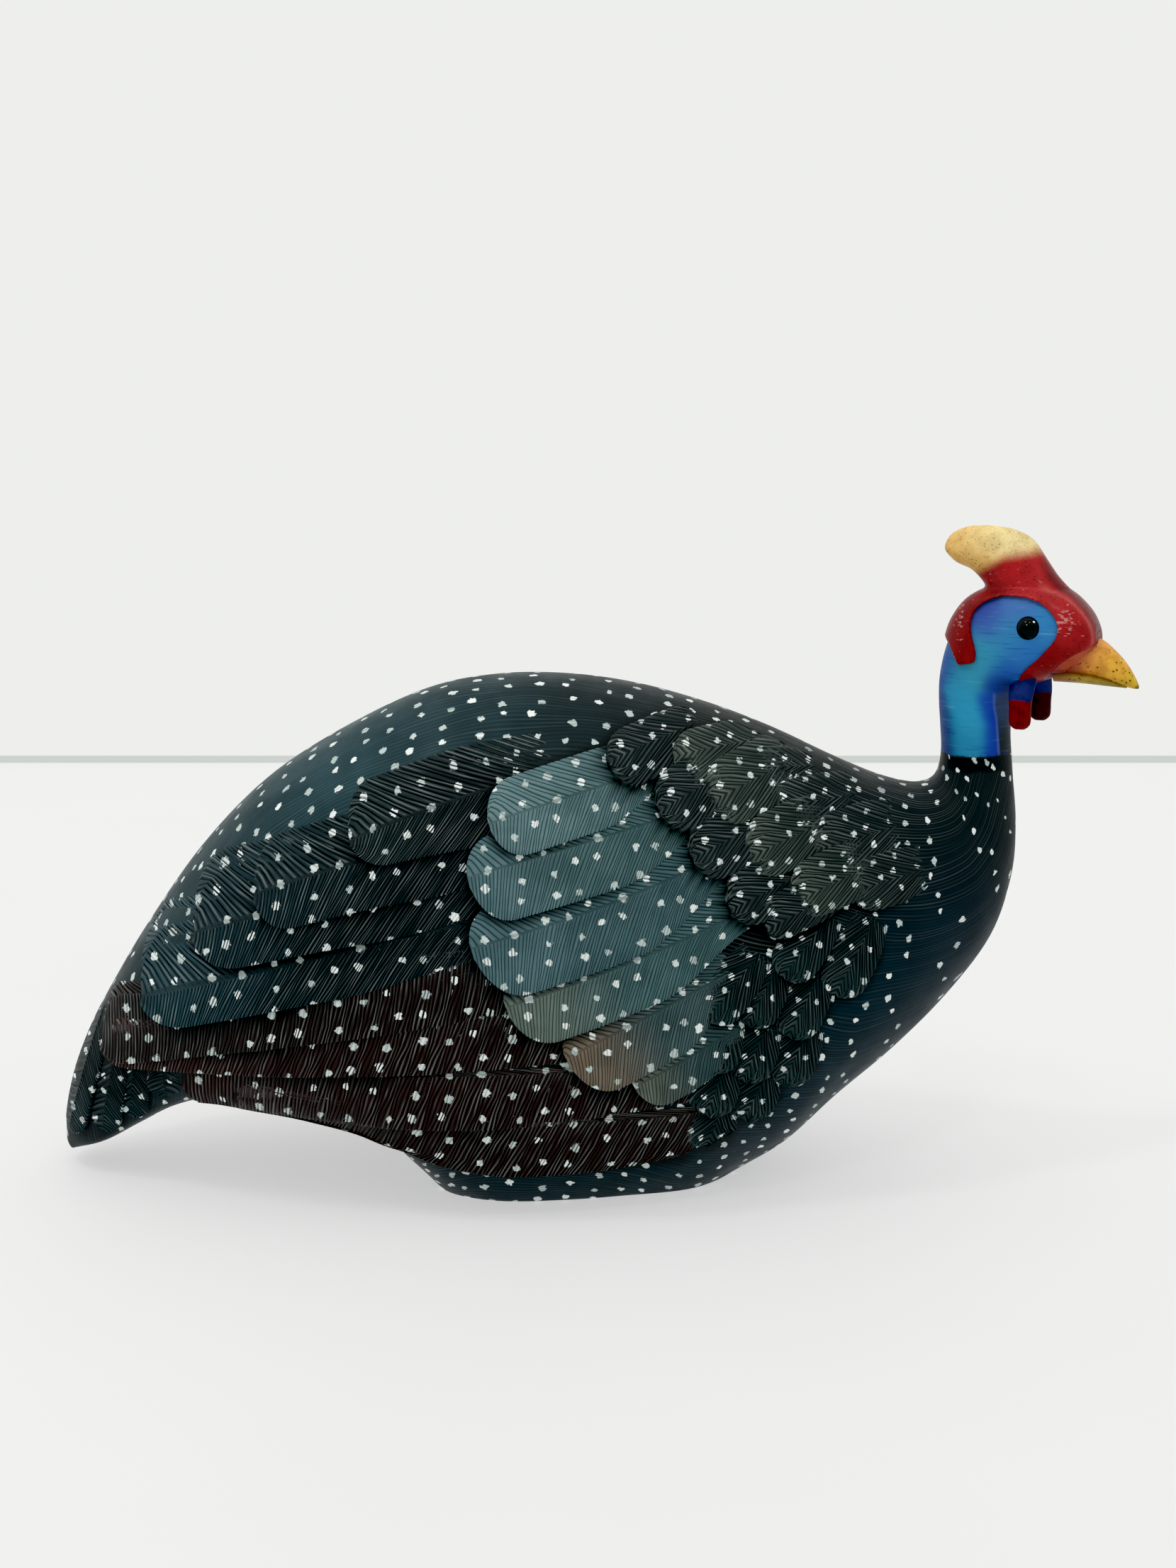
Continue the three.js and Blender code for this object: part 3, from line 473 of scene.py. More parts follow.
def feather(root, tip, bend, above, below, tip_below, tract, phase):
    """A feather on the left side: its mesh, its points and where they lie on the pattern."""
    root, tip = np.array(root, float), np.array(tip, float)
    line = tip - root
    length = np.linalg.norm(line)
    up = np.array([-line[1], line[0]]) / length
    up = up if up[1] > 0 else -up
    # a barb leaves the shaft at a, and leans until it meets the vane's edge
    lean_above, lean_below = tract["lean"]
    furthest_above, furthest_below = tract.get("reach", (0.36, 0.3))
    reach_above = min(lean_above * above / length, furthest_above)
    reach_below = min(lean_below * below / length, furthest_below)
    first = -max(reach_above, reach_below)
    apart = tract.get("apart", BARB)
    barbs = max(6, round(length * (1 - first) / apart))
    rows, columns = barbs * ROWS_PER_BARB + 1, len(ACROSS)
    mesh, row, column = grid_mesh("feather", rows + 2, columns + 2)
    rim = (row == 0) | (row == rows + 1) | (column == 0) | (column == columns + 1)
    i, j = np.clip(row - 1, 0, rows - 1), np.clip(column - 1, 0, columns - 1)
    barb = i / ROWS_PER_BARB
    a = between(first, 1, barb / barbs)
    from_shaft = ACROSS[j]
    quill = tract.get("quill", 0)
    t = np.where(from_shaft < 0, between(quill, -1, -from_shaft), between(quill, 1, from_shaft))
    # the carver's hand wavers a little from barb to barb
    hand = 0.22 * np.sin(barb * 1.5 + 2.6 * t + phase) + 0.2 * np.sin(barb * 0.7 - 4 * t + 2 * phase)
    reach = np.where(from_shaft < 0, reach_above, reach_below)
    s = a + reach * (1 - np.maximum(a, 0) ** 3) * np.abs(from_shaft) ** 0.95
    s = np.minimum(s + hand * apart / length * np.minimum(1, 3 * (1 - a)), 1)
    s = np.where(s < 0, 0.03 * s, s)
    root_sink = smooth(1 - s / 0.06)
    # long feathers' upper barbs are cut twice as far apart, since they lean so much more
    upper_step = tract.get("upper_step", 2)
    every = np.where(from_shaft < 0, upper_step, 1) * ROWS_PER_BARB
    cut = np.where(i % every == 0, 1.0, 0.0) * (0.8 + 0.2 * np.sin(barb * 2.1 + phase * 3))
    cut = cut * (1 - root_sink) * smooth((1 - a) * 30)
    tip_from = 1 - min(0.45, ROUND_END * (above + tip_below) / 2 / length)
    tip_above, root_width = tract.get("tip_above", above), tract.get("root_width", LOWER_ROOT_WIDTH)
    width_above = between(above, tip_above, s) * outline(s, UPPER_ROOT_WIDTH, tip_from)
    width_below = between(below, tip_below, s) * outline(s, root_width, tip_from)
    shaft = root + line * s[:, None] + up * (4 * bend * np.clip(s, 0, 1) * (1 - s))[:, None]
    away = t * np.where(t < 0, width_above, width_below) * (1 - 0.02 * cut)
    place = shaft - up * away[:, None]
    point, out = surface_at(*locate(place[:, 0], place[:, 1]))
    upper_edge = tract.get("upper_edge", UPPER_EDGE_LIFT)
    full = tract.get("level", 0) + tract.get("relief", FEATHER_RELIEF) * between(
        upper_edge, 1, ((t + 1) / 2) ** 1.7)
    lift = full * between(tract.get("root_lift", ROOT_LIFT), 1, smooth(s / FULL_LIFT_FROM))
    # the shaft stands proud, and the feather's edge is eased
    ridge = 0.22 * (from_shaft == 0) * smooth((0.97 - a) * 12)
    lift = lift + ridge - tract["depth"] * cut * (from_shaft != 0) - 0.25 * (np.abs(t) > 0.99)
    lift = lift * (1 - root_sink) - 0.35 * root_sink
    set_value(mesh, "barb", barb * np.where(from_shaft < 0, 1 / upper_step, 1))
    bm = bmesh.new()
    bm.from_mesh(mesh)
    bm.verts.ensure_lookup_table()
    sides = [e for e in bm.edges if e.is_boundary
             and {column[v.index] for v in e.verts} in ({0}, {columns + 1})]
    bmesh.ops.bridge_loops(bm, edges=sides)
    bmesh.ops.holes_fill(bm, edges=[e for e in bm.edges if e.is_boundary])
    bm.to_mesh(mesh)
    bm.free()
    return dict(mesh=mesh, points=point + out * np.where(rim, -FEATHER_ROOT, lift)[:, None],
                place=place, lift=lift, top=~rim, s=s, rows=rows, columns=columns,
                surface=np.stack([s * length, -away], -1))


# Each feather: root, tip, bend, half width above the shaft, and below it at the root and the tip.
# The small feathers' barbs lean far and lie about 2 mm apart; the dark wing feathers have their
# quill near the upper edge.
SMALL = dict(lean=(2, 2), reach=(0.7, 0.7), upper_step=1)
DARK_WING = dict(lean=(1.2, 0.75), quill=-0.8, depth=0.36)
TRACTS = {
    "long_wing": dict(
        feathers=[((-10, 131), (-72.5, 110), 1.5, 14, 18, 8.5),
                  ((-18, 114), (-101, 93.5), 3.2, 14, 15, 11.5),
                  ((-25, 104), (-120, 80.5), 3, 20, 16, 11.5), ((-30, 90), (-137, 59.5), 2, 24, 14, 10)],
        lean=(1.7, 1.0), depth=0.36, paint=["#131d1f", "#111d20", "#0f1d20", "#0f1e22"],
        ends=["#212f31", "#1d2f34", "#1e343a", "#26424a"]),
    "lower_wing": dict(
        DARK_WING,
        feathers=[((-10, 73), (-151, 43), 4, 16, 11, 6), ((15, 58), (-149, 41.5), 2, 10, 10.5, 4),
                  ((33, 42), (-124, 37.5), -2, 9, 9.5, 8)],
        paint=["#221513", "#281614", "#261412"], ends=["#241a19", "#341c1a", "#2d1714"]),
    "lowest_wing": dict(
        DARK_WING, feathers=[((33, 22), (-108, 35), -4, 14, 11.5, 10)],
        tip_above=5, root_lift=0.6, upper_edge=0.3, paint=["#200f0c"], ends=["#27120e"]),
    "coverts": dict(
        feathers=[((22, 132), (-32, 115.5), 0, 10.5, 11, 11), ((34, 121), (-38, 101), 0, 10, 14.5, 14.5),
                  ((40, 108), (-37, 81.5), -1.5, 11, 16.5, 16.5),
                  ((44, 91), (-27, 65), -1, 12.5, 13.5, 13.5),
                  ((40, 74), (-10, 50.5), 0, 10, 14.5, 14.5), ((42, 57), (9.5, 41.5), 0, 9, 9, 9)],
        lean=(1.8, 0.85), root_width=0.35, level=1.3, upper_edge=0.4, depth=0.26, apart=1.1,
        paint=["#587477", "#4a6668", "#466267", "#476467", "#43595b", "#33494b"],
        ends=["#678387", "#5a777c", "#547177", "#66746c", "#746657", "#5e665c"],
        drybrush_and_highlight=0.45, cut=0.7, dab=1.12),
    "mantle": dict(
        SMALL,
        feathers=[((30, 142), (2, 131.5), 0, 6.5, 9, 9), ((44, 131), (16.5, 118.5), 0, 9, 9, 9),
                  ((54, 117), (26, 105.5), 0, 9, 9, 9), ((64, 102), (37, 91), 0, 9, 8, 7),
                  ((74, 96), (47.5, 85.2), 0, 8, 6, 5)],
        level=1.5, relief=2.0, upper_edge=0.72, depth=0.3, apart=2.1,
        paint=["#1a2425"], ends=["#242f2e"], drybrush_and_highlight=0.8, dab=1.25),
    "upper_mantle": dict(
        SMALL,
        feathers=[((50, 136.5), (21, 132.5), 0, 6, 9, 9), ((59, 131), (31, 120), 0, 9.5, 9, 9),
                  ((70, 115), (42.5, 105), 0, 9.5, 9, 8), ((83, 102), (56, 92.3), 0, 9.5, 8, 7)],
        level=1.2, relief=1.2, upper_edge=0.75, depth=0.3, apart=2.1,
        paint=["#2c3733"], ends=["#454f48"], drybrush_and_highlight=0.8, dab=1.25),
    "mantle_crest": dict(
        SMALL,
        feathers=[((66, 128), (38, 129), 0, 5, 9, 9), ((78, 120), (50, 118), 0, 7, 9, 9),
                  ((90, 111), (63, 106), 0, 9, 9, 9), ((98, 99), (74, 94), 0, 8, 8, 7)],
        level=0.3, relief=0.8, upper_edge=0.7, depth=0.26, apart=2.1,
        paint=["#1c2625"], ends=["#2c3633"], drybrush_and_highlight=0.8, dab=1.3),
    "breast_side": dict(
        SMALL,
        feathers=[(root, tip, 0, 7.2, 7.2, 7.2) for root, tip in (
            ((68, 89), (52.8, 71)), ((81.5, 87), (68.5, 64.5)), ((47, 79), (30.5, 60)),
            ((52, 75), (42.4, 57.5)), ((65, 73), (54.8, 53)), ((38, 59), (30.8, 44.5)),
            ((49, 57), (41.2, 40.5)), ((62, 56), (53, 38)), ((36.5, 46), (30.6, 30.3)),
            ((49.5, 42.5), (41.8, 27)), ((36, 32), (30.2, 17.6)))],
        relief=2.2, upper_edge=0.3, depth=0.26, apart=1.9,
        paint=["#0f1d20"], ends=["#1f3031"], drybrush_and_highlight=0.7, dab=1.25),
    "tail": dict(
        feathers=[(root, tip, 0, 5.5, 5.5, 5.5) for root, tip in (
            ((-152, 54), (-164.5, 13)), ((-146, 45), (-152.5, 15.5)),
            ((-140, 40), (-143, 21.5)), ((-131, 39), (-130.5, 30)))],
        lean=(1.2, 1.2), relief=1.2, depth=0.24,
        paint=["#0b171a"], ends=["#14292e"], drybrush_and_highlight=0.5, dab=1.15),
}
carved = []
for tract in TRACTS.values():
    for k, shape in enumerate(tract["feathers"]):
        made = feather(*shape, tract, 1.7 * k + len(carved))
        paint, ends = (linear(tract[p][min(k, len(tract[p]) - 1)]) for p in ("paint", "ends"))
        set_uv(made["mesh"], "surface", made["surface"] * tract.get("dab", 1.0))
        # each feather turns from its paint at the root to its end colour at the tip; on the coverts the
        # darker roots under the mantle are partly painted shade
        set_paint(made["mesh"], between(paint, ends, smooth((made["s"] - 0.45) / 0.5)[:, None]))
        for name in ("cut", "drybrush_and_highlight", "stretch", "dab"):
            set_value(made["mesh"], name, np.full(len(made["s"]), tract.get(name, 1.0)))
        carved.append(made)

# Under each feather's edge, where the feather above shades it, the wood is painted darkest: painted
# shade. How high the feathers stand is noted in the squares of a grid over the side view, and from
# that how deep in a cut each point lies.
SQUARE = 0.5
GRID_LOW = np.array([-175, -5])
stands = np.zeros((700, 420))


def square_of(at):
    """The grid's square in which each point of the side view lies."""
    squares = np.rint((at - GRID_LOW) / SQUARE).astype(int)
    return tuple(np.clip(squares, 0, np.array(stands.shape) - 1).T)


for made in carved:
    grid_shape = (made["rows"], made["columns"])
    place = made["place"][made["top"]].reshape(*grid_shape, 2)
    lift = made["lift"][made["top"]].reshape(grid_shape)
    # nine times across each strip of a feather between two of its lines
    for share in np.linspace(0, 1, 9):
        at = between(place[:, :-1], place[:, 1:], share).reshape(-1, 2)
        np.maximum.at(stands, square_of(at), between(lift[:, :-1], lift[:, 1:], share).reshape(-1))


def undercut_shade(place, lift):
    """How deep points lie under what stands round them, from 0 to 1."""
    deepest = np.zeros(len(place))
    for reach, weight in ((0.6, 1), (1.2, 0.8), (1.9, 0.45), (2.7, 0.2)):
        for turn in np.linspace(0, 2 * np.pi, 12, endpoint=False):
            step = reach * np.array([np.cos(turn), np.sin(turn)])
            over = stands[square_of(place + step)] - lift
            deepest = np.maximum(deepest, weight * smooth((over - 0.35) / 0.9))
    return deepest


WELD = 0.01


def closed(mesh):
    """Welds a mesh's seams, closes its open ends and faces it outwards."""
    bm = bmesh.new()
    bm.from_mesh(mesh)
    bmesh.ops.remove_doubles(bm, verts=bm.verts, dist=WELD * MM)
    bmesh.ops.holes_fill(bm, edges=[e for e in bm.edges if e.is_boundary])
    bmesh.ops.recalc_face_normals(bm, faces=bm.faces)
    bm.to_mesh(mesh)
    bm.free()


def in_scene(data, name=None):
    """Puts a mesh, a lamp or a camera in the scene."""
    made = bpy.data.objects.new(name or data.name, data)
    bpy.context.scene.collection.objects.link(made)
    return made


def piece(name, mesh, material, sharp=None):
    """Puts a finished mesh in the scene as a piece of the bird."""
    made = in_scene(mesh, name)
    mesh.materials.append(material)
    mesh.shade_smooth()
    if sharp:
        mesh.set_sharp_from_angle(angle=math.radians(sharp))
    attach(made, "root")
    return made


for made in carved:
    set_value(made["mesh"], "undercut_shade", undercut_shade(made["place"], made["lift"]))
set_value(body_mesh, "undercut_shade", undercut_shade(body_side_view, np.zeros(len(body_side_view))))
# the smooth wood is finished here, now that its painted shade under the feathers is known:
# its belly is cut flat
closed(body_mesh)
belly = bmesh.new()
belly.from_mesh(body_mesh)
bmesh.ops.bisect_plane(belly, geom=belly.verts[:] + belly.edges[:] + belly.faces[:], dist=1e-6,
                       plane_co=(0, 0, 0), plane_no=(0, 0, -1), clear_outer=True)
bmesh.ops.holes_fill(belly, edges=[e for e in belly.edges if e.is_boundary])
belly.to_mesh(body_mesh)
belly.free()


def plumage(name, side):
    """All feathers of one side as one mesh."""
    joined = bmesh.new()
    for made in carved:
        set_points(made["mesh"], made["points"] * np.array([1, side, 1]))
        joined.from_mesh(made["mesh"])
    bmesh.ops.recalc_face_normals(joined, faces=joined.faces)
    mesh = bpy.data.meshes.new(name)
    joined.to_mesh(mesh)
    joined.free()
    return mesh


body = piece("body", body_mesh, painted, sharp=50)
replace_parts(body, "bird")
for name, side in (("plumage_left", 1), ("plumage_right", -1)):
    wing = piece(name, plumage(name, side), painted, sharp=55)
    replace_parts(wing, "bird")
for made in carved:
    bpy.data.meshes.remove(made["mesh"])

# ---------------- the red comb and the casque
# One carved form on top of the head: the red comb stands above the blue face in two lobes that
# run down behind the face and along the gape, and rises into a smooth horn that is painted pale
# yellow. It is swept through the head's own sections, cut to the lobes' outline, and rounded.
COMB_RELIEF = 1.5
# its outline in the side view: each stretch is curved or straight, and x, z of its points
COMB_EDGE = [
    (False, [(98, 200), (98, 170), (107.8, 163.9), (111.7, 157.7), (117, 158.7)]),
    (True, [(117, 158.7), (117.3, 162), (115, 170), (117.1, 175.6), (124, 178.6), (133.5, 178.1),
            (140.1, 173.8), (141.3, 168), (137.4, 162.4), (131.6, 156.6), (129.8, 153.6),
            (130, 150.6), (132, 148.8)]),
    (True, [(134.4, 149.6), (137.8, 154.6), (144.5, 161), (153.7, 165.6)]),
    (False, [(165, 172), (165, 200)]),
]
SLAB = 40
# stations of top x, top z, foot x, foot z, half width
CASQUE = np.array([
    (104.2, 193, 104.7, 190.8, 1.8), (106.3, 196.6, 108, 187.8, 3.8), (111.5, 198.9, 113, 185.6, 5),
    (118, 199.3, 117.3, 181, 5.6), (125.5, 198.3, 120, 175, 6.2), (131.2, 195.4, 127, 173, 6.8),
    (135.4, 189.6, 134, 172, 7.2), (138.8, 184.8, 139, 170, 7), (143, 180.6, 144, 170, 5),
])


def horn(name, stations, around=40, between_stations=6):
    """The mesh of a smooth closed horn through stations, oval in section."""
    count = (len(stations) - 1) * between_stations + 1
    mesh, row, column = grid_mesh(name, count, around + 1)
    rows = curve_at(stations, row / between_stations)
    angle = 2 * np.pi * column / around
    down = (1 - np.cos(angle)) / 2
    points = np.stack([between(rows[:, 0], rows[:, 2], down), rows[:, 4] * np.sin(angle),
                       between(rows[:, 1], rows[:, 3], down)], -1)
    set_points(mesh, points)
    closed(mesh)
    return mesh


def shaped(base, *modifiers):
    """base's mesh with modifiers (type, settings) applied, as a new mesh; base goes."""
    for kind, settings in modifiers:
        modifier = base.modifiers.new(kind, kind)
        for key, value in settings.items():
            setattr(modifier, key, value)
    evaluated = base.evaluated_get(bpy.context.evaluated_depsgraph_get())
    mesh = bpy.data.meshes.new_from_object(evaluated)
    bpy.data.objects.remove(base)
    return mesh


HEAD_RINGS, HEAD_AROUND = 90, 96
head_stations = np.linspace(LAST_FEATHERED + 2, len(SECTIONS) - 1, HEAD_RINGS)
skin_mesh, row, column = grid_mesh("comb_skin", HEAD_RINGS, HEAD_AROUND + 1)
section = curve_at(SECTIONS, head_stations[row])
up_x, up_z = section[:, TOP_X] - section[:, FOOT_X], section[:, TOP_Z] - section[:, FOOT_Z]
rise = COMB_RELIEF / np.hypot(up_x, up_z)
section[:, TOP_X] += up_x * rise
section[:, TOP_Z] += up_z * rise
section[:, HALF] += COMB_RELIEF
angle = 2 * np.pi * column / HEAD_AROUND
share = (1 - np.cos(angle)) / 2
set_points(skin_mesh, point_on(section, share, np.sign(np.sin(angle)) * half_width(section, share)))
closed(skin_mesh)
slab = bmesh.new()
corners = []
for curved, points in COMB_EDGE:
    points = np.array(points, float)
    if curved:
        points = curve_at(points, np.linspace(0, len(points) - 1, 6 * len(points)))
    corners += [tuple(p) for p in points if not corners or math.dist(p, corners[-1]) > 0.05]
slab.faces.new([slab.verts.new((x * MM, -SLAB / 2 * MM, z * MM)) for x, z in corners])
pulled = bmesh.ops.extrude_face_region(slab, geom=slab.faces[:])["geom"]
bmesh.ops.translate(slab, vec=(0, SLAB * MM, 0),
                    verts=[v for v in pulled if isinstance(v, bmesh.types.BMVert)])
bmesh.ops.recalc_face_normals(slab, faces=slab.faces)
slab_mesh = bpy.data.meshes.new("comb_outline")
slab.to_mesh(slab_mesh)
slab.free()
cutter, horn_object = in_scene(slab_mesh), in_scene(horn("casque_horn", CASQUE))
comb_mesh = shaped(
    in_scene(skin_mesh),
    ("BOOLEAN", dict(object=cutter, operation="INTERSECT", solver="EXACT")),
    ("BOOLEAN", dict(object=horn_object, operation="UNION", solver="EXACT")),
    ("REMESH", dict(mode="VOXEL", voxel_size=0.5 * MM)),
    ("SMOOTH", dict(factor=0.5, iterations=12)))
for used in (cutter, horn_object):
    bpy.data.objects.remove(used)
points = get_points(comb_mesh)
set_points(comb_mesh, turn_head(points, 1))
x, from_middle, z = points[:, 0], np.abs(points[:, 1]), points[:, 2]
# how far a point lies above the line where the yellow fades into the red
above_fade = z - np.interp(x, [114, 118, 124, 135, 142], [184.5, 187, 190.5, 192.5, 193])
set_value(comb_mesh, "above_fade", above_fade * MM)
RED = [
    (126, 184, 8, "#a81c20"), (134, 186, 7, "#aa2a2e"), (140, 176, 6, "#ac282c"), (146, 170, 5, "#9c1a1e"),
    (108, 165, 8, "#820a0c"), (112, 160, 4, "#86090b"), (112, 178, 6, "#7c1014"), (140, 160, 5, "#84090b"),
    (134, 154, 4, "#86090c"), (122, 180, 3, "#5c0b10"), (118, 186, 4, "#8a2224"),
]
YELLOW = [
    (110, 196, 8, "#ecca84"), (106, 190, 6, "#e6b25a"), (122, 196, 7, "#ebd89c"), (117, 187, 5, "#e0ae5c"),
    (132, 192, 6, "#e4ce96"),
]
fade = smooth(above_fade / 5 + 0.5)
red = near(points, RED)
# painted shade darkens the hollow down the forehead, and a painted highlight lies along the ridges
# beside it
forehead = smooth((x - 133) / 5) * smooth((z - 156) / 4)
valley = smooth((6.5 - from_middle) / 2) * forehead
red = between(red, linear("#560a0e"), 0.75 * valley[:, None])
crest = np.exp(-((from_middle - 7.3) / 0.7) ** 2) * forehead
red = between(red, linear("#c8625c"), 0.5 * crest[:, None])
set_paint(comb_mesh, between(red, near(points, YELLOW), fade[:, None]))
# painted glints, pale marks standing for light caught on gouge marks: on the front lobe and along
# the rear one
front_lobe, rear_lobe = spot(x, z, (144, 172), (4.2, 5.5)), spot(x, z, (111, 171), (2.2, 7))
set_value(comb_mesh, "glints", np.maximum(front_lobe, 0.7 * rear_lobe) * (from_middle > 4))

# Deep glossy red acrylic, cut with a small gouge and a little pitted on its front lobe; the
# yellow is thinner, lets fine dark specks through, and fades into the red. The clouds are 4 mm
# across, the specks a little under 1 mm, and the pale marks, part scratches and part painted
# glints, are narrow and level.
material, tree, shader = new_material("gloss_red_and_yellow_acrylic", Roughness=0.3,
                                      Specular_IOR_Level=0.07, Coat_Weight=0.05, Coat_Roughness=0.15)
add = partial(add_node, tree)
place = add("TexCoord", output="Object")
paint = add("Attribute", attribute_name="paint")
above = add("Attribute", attribute_name="above_fade", output="Fac")
cloudy = add("TexNoise", place, 260.0, 4.0)
specks = add("TexVoronoi", place, 1100.0)
tone = add("Mix", add("MapRange", cloudy, 0.35, 0.65, 0.0, 0.4, **SMOOTHLY), paint,
           add("Mix", 1.0, paint, rgba("#c8b8a4"), **TINT), **COLOURS)
yellow = add("Math", above, add("Math", cloudy, 0.004, **TIMES), **PLUS)
yellow = add("MapRange", yellow, 0.0, 0.005, **SMOOTHLY)
speckled = add("Math", add("MapRange", specks, 0.28, 0.16, **SMOOTHLY),
               add("MapRange", cloudy, 0.46, 0.62, **SMOOTHLY), **TIMES)
colour = add("Mix", add("Math", speckled, 0.55, **TIMES), tone,
             add("Mix", 1.0, paint, rgba("#6a5a48"), **TINT), **COLOURS)
mark = add("TexNoise", add("Mapping", place, None, None, (500.0, 500.0, 1400.0)), 1.0, 2.0)
# painted glints: the pale marks grow more frequent on the lobes
glints = add("Attribute", attribute_name="glints", output="Fac")
mark = add("Math", mark, add("Math", glints, 0.16, **TIMES), **PLUS)
on_red = add("Math", 0.6, add("Math", yellow, 0.6, **TIMES), **MINUS)
mark = add("Math", add("MapRange", mark, 0.68, 0.78, **SMOOTHLY), on_red, **TIMES)
tree.links.new(add("Mix", mark, colour, rgba("#d49a94"), **COLOURS), shader.inputs["Base Color"])
pits = add("Math", add("MapRange", specks, 0.3, 0.1, **SMOOTHLY), -0.5, **TIMES)
dents = add("Math", add("Math", cloudy, 0.5, **TIMES), pits, **PLUS)
tree.links.new(add("Bump", 0.8, 0.0005, None, dents), shader.inputs["Normal"])
comb = piece("comb_and_casque", comb_mesh, material)
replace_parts(comb, "bird")

# ---------------- the beak
# The beak is part of the same block, painted ochre over red at its root, with a dark line cut
# for the mouth and the pores of the wood left showing as fine pits along its ridge.
UPPER_BEAK = np.array([
    (145, 168.5, 143, 154.5, 7), (152.5, 166.2, 149.4, 155, 6.3), (156.7, 163.1, 154, 154.2, 5),
    (160.4, 159.2, 158.5, 152.8, 3.6), (163, 155.2, 162.2, 151.9, 2), (164.2, 152.6, 164, 151.8, 0.8),
])
LOWER_BEAK = np.array([
    (140, 157, 139.4, 153, 6.4), (147.5, 156.5, 147, 152.8, 5.4), (154.6, 155, 154.4, 152.3, 3.9),
    (160.4, 153, 160.6, 151.9, 1.6),
])
UPPER_PAINT = [
    (144, 166, 4, "#8a2624"), (145, 160, 3.5, "#a8402c"), (148.5, 163.5, 2.6, "#c4624e"),
    (152, 162, 3, "#dc9a48"), (154, 158, 4, "#e2a83e"), (150.5, 157, 3, "#cf7f34"),
    (158, 158, 3, "#e0ad3c"), (161.5, 154, 2.2, "#d2ac2c"), (164.3, 151.8, 1, "#5a4a1a"),
    (142, 156, 4, "#6e2a1a"),
]
LOWER_PAINT = [(141, 155, 4, "#8a5a2c"), (149, 154.5, 4, "#a58a34"), (157, 153, 4, "#8f7a2e")]

# Satin acrylic on open-pored wood: it is worn unevenly in clouds 3 mm across, and the pores show
# as dark pits a little over 1 mm apart.
material, tree, shader = new_material("ochre_acrylic", Roughness=0.4, Specular_IOR_Level=0.15,
                                      Coat_Weight=0.05, Coat_Roughness=0.25)
add = partial(add_node, tree)
place = add("TexCoord", output="Object")
paint = add("Attribute", attribute_name="paint")
cloudy = add("TexNoise", place, 300.0, 4.0)
pores = add("MapRange", add("TexVoronoi", place, 750.0), 0.26, 0.14, **SMOOTHLY)
tone = add("Mix", add("MapRange", cloudy, 0.35, 0.65, 0.0, 0.5, **SMOOTHLY), paint,
           add("Mix", 1.0, paint, rgba("#c4aa8c"), **TINT), **COLOURS)
pit = add("Math", pores, add("MapRange", cloudy, 0.4, 0.52, **SMOOTHLY), **TIMES)
tree.links.new(add("Mix", pit, tone, rgba("#3a2216"), **COLOURS), shader.inputs["Base Color"])
relief = add("Math", cloudy, pit, **MINUS)
tree.links.new(add("Bump", 0.6, 0.0003, None, relief), shader.inputs["Normal"])
for name, stations, patches in (("beak_upper", UPPER_BEAK, UPPER_PAINT),
                                ("beak_lower", LOWER_BEAK, LOWER_PAINT)):
    mesh = horn(name, stations, 44, 10)
    points = get_points(mesh)
    set_paint(mesh, near(points, patches))
    set_points(mesh, turn_head(points, 1))
    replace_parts(piece(name, mesh, material), "bird")

# ---------------- the wattles
# Two flat lobes carved hanging from the jaw, blue above where they leave it and red below; the
# far one is painted a darker maroon, as painted shade.
WATTLE = np.array([  # height, half length, half thickness
    (156, 4.2, 2.4), (151, 3.8, 2), (146, 3.4, 1.8), (141.5, 3.3, 1.7), (140, 2.6, 1.3), (139.2, 1.5, 0.7),
])
WATTLE_RINGS, WATTLE_AROUND = 12, 40
JAW = 147.5

# Satin acrylic, uneven in clouds 2.4 mm across; the blue ends in a wavy line.
material, tree, shader = new_material("gloss_wattle_acrylic", Roughness=0.5, Specular_IOR_Level=0.1)
add = partial(add_node, tree)
place = add("TexCoord", output="Object")
cloudy = add("TexNoise", place, 420.0, 3.0)
height = add("Math", add("SeparateXYZ", place, output="Z"), add("Math", cloudy, 0.002, **TIMES), **PLUS)
tone = add("Mix", add("MapRange", height, 0.1487, 0.1493, **SMOOTHLY),
           add("Attribute", attribute_name="paint"), rgba("#10246c"), **COLOURS)
tree.links.new(add("Mix", add("MapRange", cloudy, 0.4, 0.65, 0.0, 0.6, **SMOOTHLY), tone,
                   add("Mix", 1.0, tone, rgba("#8a7a80"), **TINT), **COLOURS), shader.inputs["Base Color"])
tree.links.new(add("Bump", 0.4, 0.0003, None, cloudy), shader.inputs["Normal"])
# the far wattle's darker maroon is painted shade
for name, x, y, colour in (("wattle_right", 130.9, -10.2, "#740405"),
                           ("wattle_left", 132.6, 10.8, "#3a080a")):
    mesh, row, column = grid_mesh(name, WATTLE_RINGS * (len(WATTLE) - 1) + 1, WATTLE_AROUND + 1)
    height, half_length, half_thick = curve_at(WATTLE, row / WATTLE_RINGS).T
    angle = 2 * np.pi * column / WATTLE_AROUND
    into_jaw = 3.5 * smooth((height - JAW) / 7)
    points = np.stack([x + half_length * np.cos(angle),
                       y - np.sign(y) * into_jaw + half_thick * np.sin(angle), height], -1)
    set_points(mesh, turn_head(points, 1))
    set_paint(mesh, np.tile(linear(colour), (len(points), 1)))
    closed(mesh)
    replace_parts(piece(name, mesh, material), "bird")

